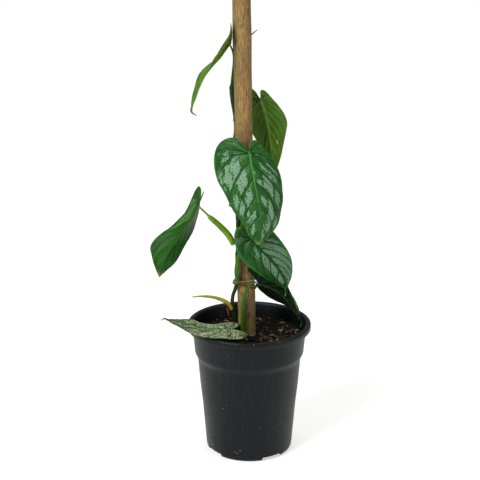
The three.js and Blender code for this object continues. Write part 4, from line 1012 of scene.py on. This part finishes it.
# What each blade looks like above and below, as sRGB hex
bothLook = {"streaks": 4.2, "streakMix": 0.3, "veinAndShadeReach": 0.16, "veinAndShadeMix": 0.75, "midribWidth": 0.011,
            "marginFrom": 0.95, "tipFrom": 0.9, "scars": []}
# on the upper face the dark vein colour reaches wide and paints shade into the sunken veins
upperLook = {"deep": "#0f3f0a", "fresh": "#1c5513", "streak": "#337526", "silver": "#799b7f",
             "veinAndShade": "#062606", "midrib": "#4a8233", "margin": "#327422", "tip": "#5f8a22", "breakUp": 3.0,
             "speckle": 1.2, "silverMix": 1.0, "sheen": 0.26, "relief": 0.8, "veinAndShadeReach": 0.24,
             "veinAndShadeMix": 0.85, "gloss": 0.33, "streakMix": 0.55}
underLook = {"deep": "#31510f", "fresh": "#416318", "streak": "#4e6e28", "silver": "#54784a",
             "veinAndShade": "#22400c", "midrib": "#527230", "margin": "#4a7018", "tip": "#4f6e1e", "gloss": 0.46,
             "breakUp": 1.0, "speckle": 0.5, "silverMix": 0.85, "sheen": 0.2, "relief": 0.5}
leafLooks = {
    "leaf_1": ({"deep": "#3a5c08", "fresh": "#557c14", "margin": "#738e38"},
               {"deep": "#4a6400", "fresh": "#6b8418", "streak": "#7c9040"}),
    "leaf_2": ({}, {"deep": "#40640f", "fresh": "#4c721c", "veinAndShade": "#2e520c", "streak": "#5a8030",
                    "midrib": "#628638", "scars": [((27.4, 0.55), (0.22, 0.1), "#d9d6bd", "#6b4a22")]}),
    "leaf_3": ({"tipFrom": 0.93, "scars": [((8.0, 0.3), (0.25, 0.06), "#5a3416", "#56601f")]}, {}),
    "leaf_4": ({"deep": "#052c05", "fresh": "#0c460b", "streak": "#1a5a18", "veinAndShade": "#020e03",
                "silver": "#5f7f62", "midrib": "#082a08", "margin": "#2b7522", "marginFrom": 0.82,
                "tip": "#8f9848", "tipFrom": 0.91}, {}),
    # leaf 5's underside silver colour is a painted sheen
    "leaf_5": ({}, {"deep": "#103f04", "fresh": "#1b520a", "streak": "#296214", "silver": "#527a45",
                    "veinAndShade": "#0d3604", "midrib": "#20520c", "margin": "#33681a"}),
    "leaf_6": ({"silver": "#9cae97", "deep": "#1c3c18", "fresh": "#2f5228"},
               {"deep": "#020f04", "fresh": "#061d06", "streak": "#0c290a", "silver": "#66815f",
                "veinAndShade": "#020802", "midrib": "#2a3d18", "margin": "#1a3a14", "midribWidth": 0.006,
                "sheen": 0.15, "gloss": 0.52, "breakUp": 2.4, "speckle": 1.4, "veinAndShadeReach": 0.1}),
    "leaf_7": ({"deep": "#153510", "fresh": "#36542d", "streak": "#4b6a40", "silver": "#b2bb92",
                "veinAndShade": "#22431a", "midrib": "#527040", "margin": "#44623a", "tip": "#44593a",
                "breakUp": 3.2, "speckle": 1.8, "streaks": 7.0},
               {"deep": "#2e4a24", "fresh": "#3d5c30"}),
}
for name, plan in leafPlan.items():
    length = smoothLine(plan["midrib"], bladeForm["lineSteps"])[1]
    looks = zip(("upper skin", "underside"), (upperLook, underLook), leafLooks[name])
    skins = [leafSkin(f"{name} {side}, waxy and satin", {**bothLook, **base, **own}, length)
             for side, base, own in looks]
    leaf = showPiece(name + "_dressed", leafMesh(name + "_dressed", plan, skins))
    fitPiece(leaf, "leaf", name)
print("leaves opened:", len(leafPlan))

# Ties: coated garden wire and plied twine round the stem and the stake, and a plastic tag end on the soil
tiePlan = {
    "stemSpot": [-14, -10.1, 2.4], "stemSlack": 1.0, "stakeSlack": 0.5, "stakeRadius": 10.0, "steps": 96,
    "levelShare": 0.3,
    "green_tie": (204.0, 0.0, 0.7), "twine": (202.1, 13.0, 0.8),  # height, fall over its width, radius
    "footReach": 11.4, "footStart": -75.0, "footSpan": 42.0, "footRadius": 0.7,
}


def tieLoop(height, fall, radius):
    # taut loop: the outer edge of two rounds, the stake and the stem beside it
    stake = np.append(stakeCentre(height)[:2], tiePlan["stakeRadius"] + tiePlan["stakeSlack"] + radius)
    stem = np.array(tiePlan["stemSpot"]) + (0, 0, tiePlan["stemSlack"] + radius)
    points, held = [], None
    for angle in np.linspace(0, 2 * math.pi, tiePlan["steps"] + 1):
        outward = np.array([math.cos(angle), math.sin(angle)])
        reach = [np.dot(thing[:2], outward) + thing[2] for thing in (stake, stem)]
        now = int(reach[1] > reach[0])
        point = (stake, stem)[now][:2] + outward * (stake, stem)[now][2]
        if held is not None and held != now:
            points += [points[-1] + (point - points[-1]) * part for part in np.linspace(0.1, 0.9, 9)]
        points.append(point)
        held = now
    points = np.array(points[:-1])
    across = (points[:, 0] - points[:, 0].min()) / np.ptp(points[:, 0])
    drop = fall * np.maximum(0, across - tiePlan["levelShare"])
    return np.column_stack([points, height - drop, np.full(len(points), radius)])


def tie(name, stations, closed, material, slot, **sizes):
    piece = runNodes(pathObject(name + "_dressed", [stations], closed), limbTree(name, material),
                     {**limbSizes, **sizes})
    fitPiece(piece, slot, name)


def tieMaterial(name, gloss, dark, light, worn, grain, depth):
    # mottled body with worn specks and fine grain; grain in repeats a metre, depth of the relief in metres
    material, shader, add = newMaterial(name, Roughness=gloss, IOR=1.47)
    spot = add("TexCoord").outputs["Object"]
    cloud = add("TexNoise", {"Vector": spot, "Scale": 160.0, "Detail": 3.0})
    cloud = add("MapRange", [cloud, 0.35, 0.65])
    fine = add("TexNoise", {"Vector": spot, "Scale": grain, "Detail": 2.0})
    scuff = add("MapRange", [fine, 0.56, 0.7, 0.0, 0.6])
    bump = add("Bump", {"Strength": 0.6, "Distance": depth, "Height": fine})
    feed(shader, {"Base Color": layered(add, dark, [(cloud, light), (scuff, worn)]), "Normal": bump})
    return material


# thin PVC over wire: smooth, scuffed pale; jute: hairy and matt, dark in its grooves; polyethylene tie: waxy
greenWire = tieMaterial("green coated garden wire", 0.4, "#57752f", "#7c9a49", "#a5b87c", 900.0, 0.00005)
plied = tieMaterial("plied jute twine", 0.85, "#3f2b19", "#6b4c2c", "#8f7048", 2600.0, 0.00025)
tagPlastic = tieMaterial("teal extruded polyethylene tie", 0.42, "#225646", "#2f6f5e", "#5c8f80",
                         1200.0, 0.00005)
tie("green_tie", tieLoop(*tiePlan["green_tie"]), True, greenWire, "green_tie", Sides=12)
tie("twine", tieLoop(*tiePlan["twine"]), True, plied, "twine",
    Sides=16, Twists=300.0, **{"Lobe depth": 0.22})
turn = np.radians(np.linspace(0, tiePlan["footSpan"], 14) + tiePlan["footStart"])
centre = stakeCentre(soilPlan["height"])
x, y = centre[0] + tiePlan["footReach"] * np.cos(turn), tiePlan["footReach"] * np.sin(turn)
arc = np.column_stack([x, y, soilHeight(x, y) + 0.5 + tiePlan["footRadius"],
                       np.full(len(x), tiePlan["footRadius"])])
tie("foot_tie", arc, False, tagPlastic, "foot_tie", Sides=12)
print("ties tied")
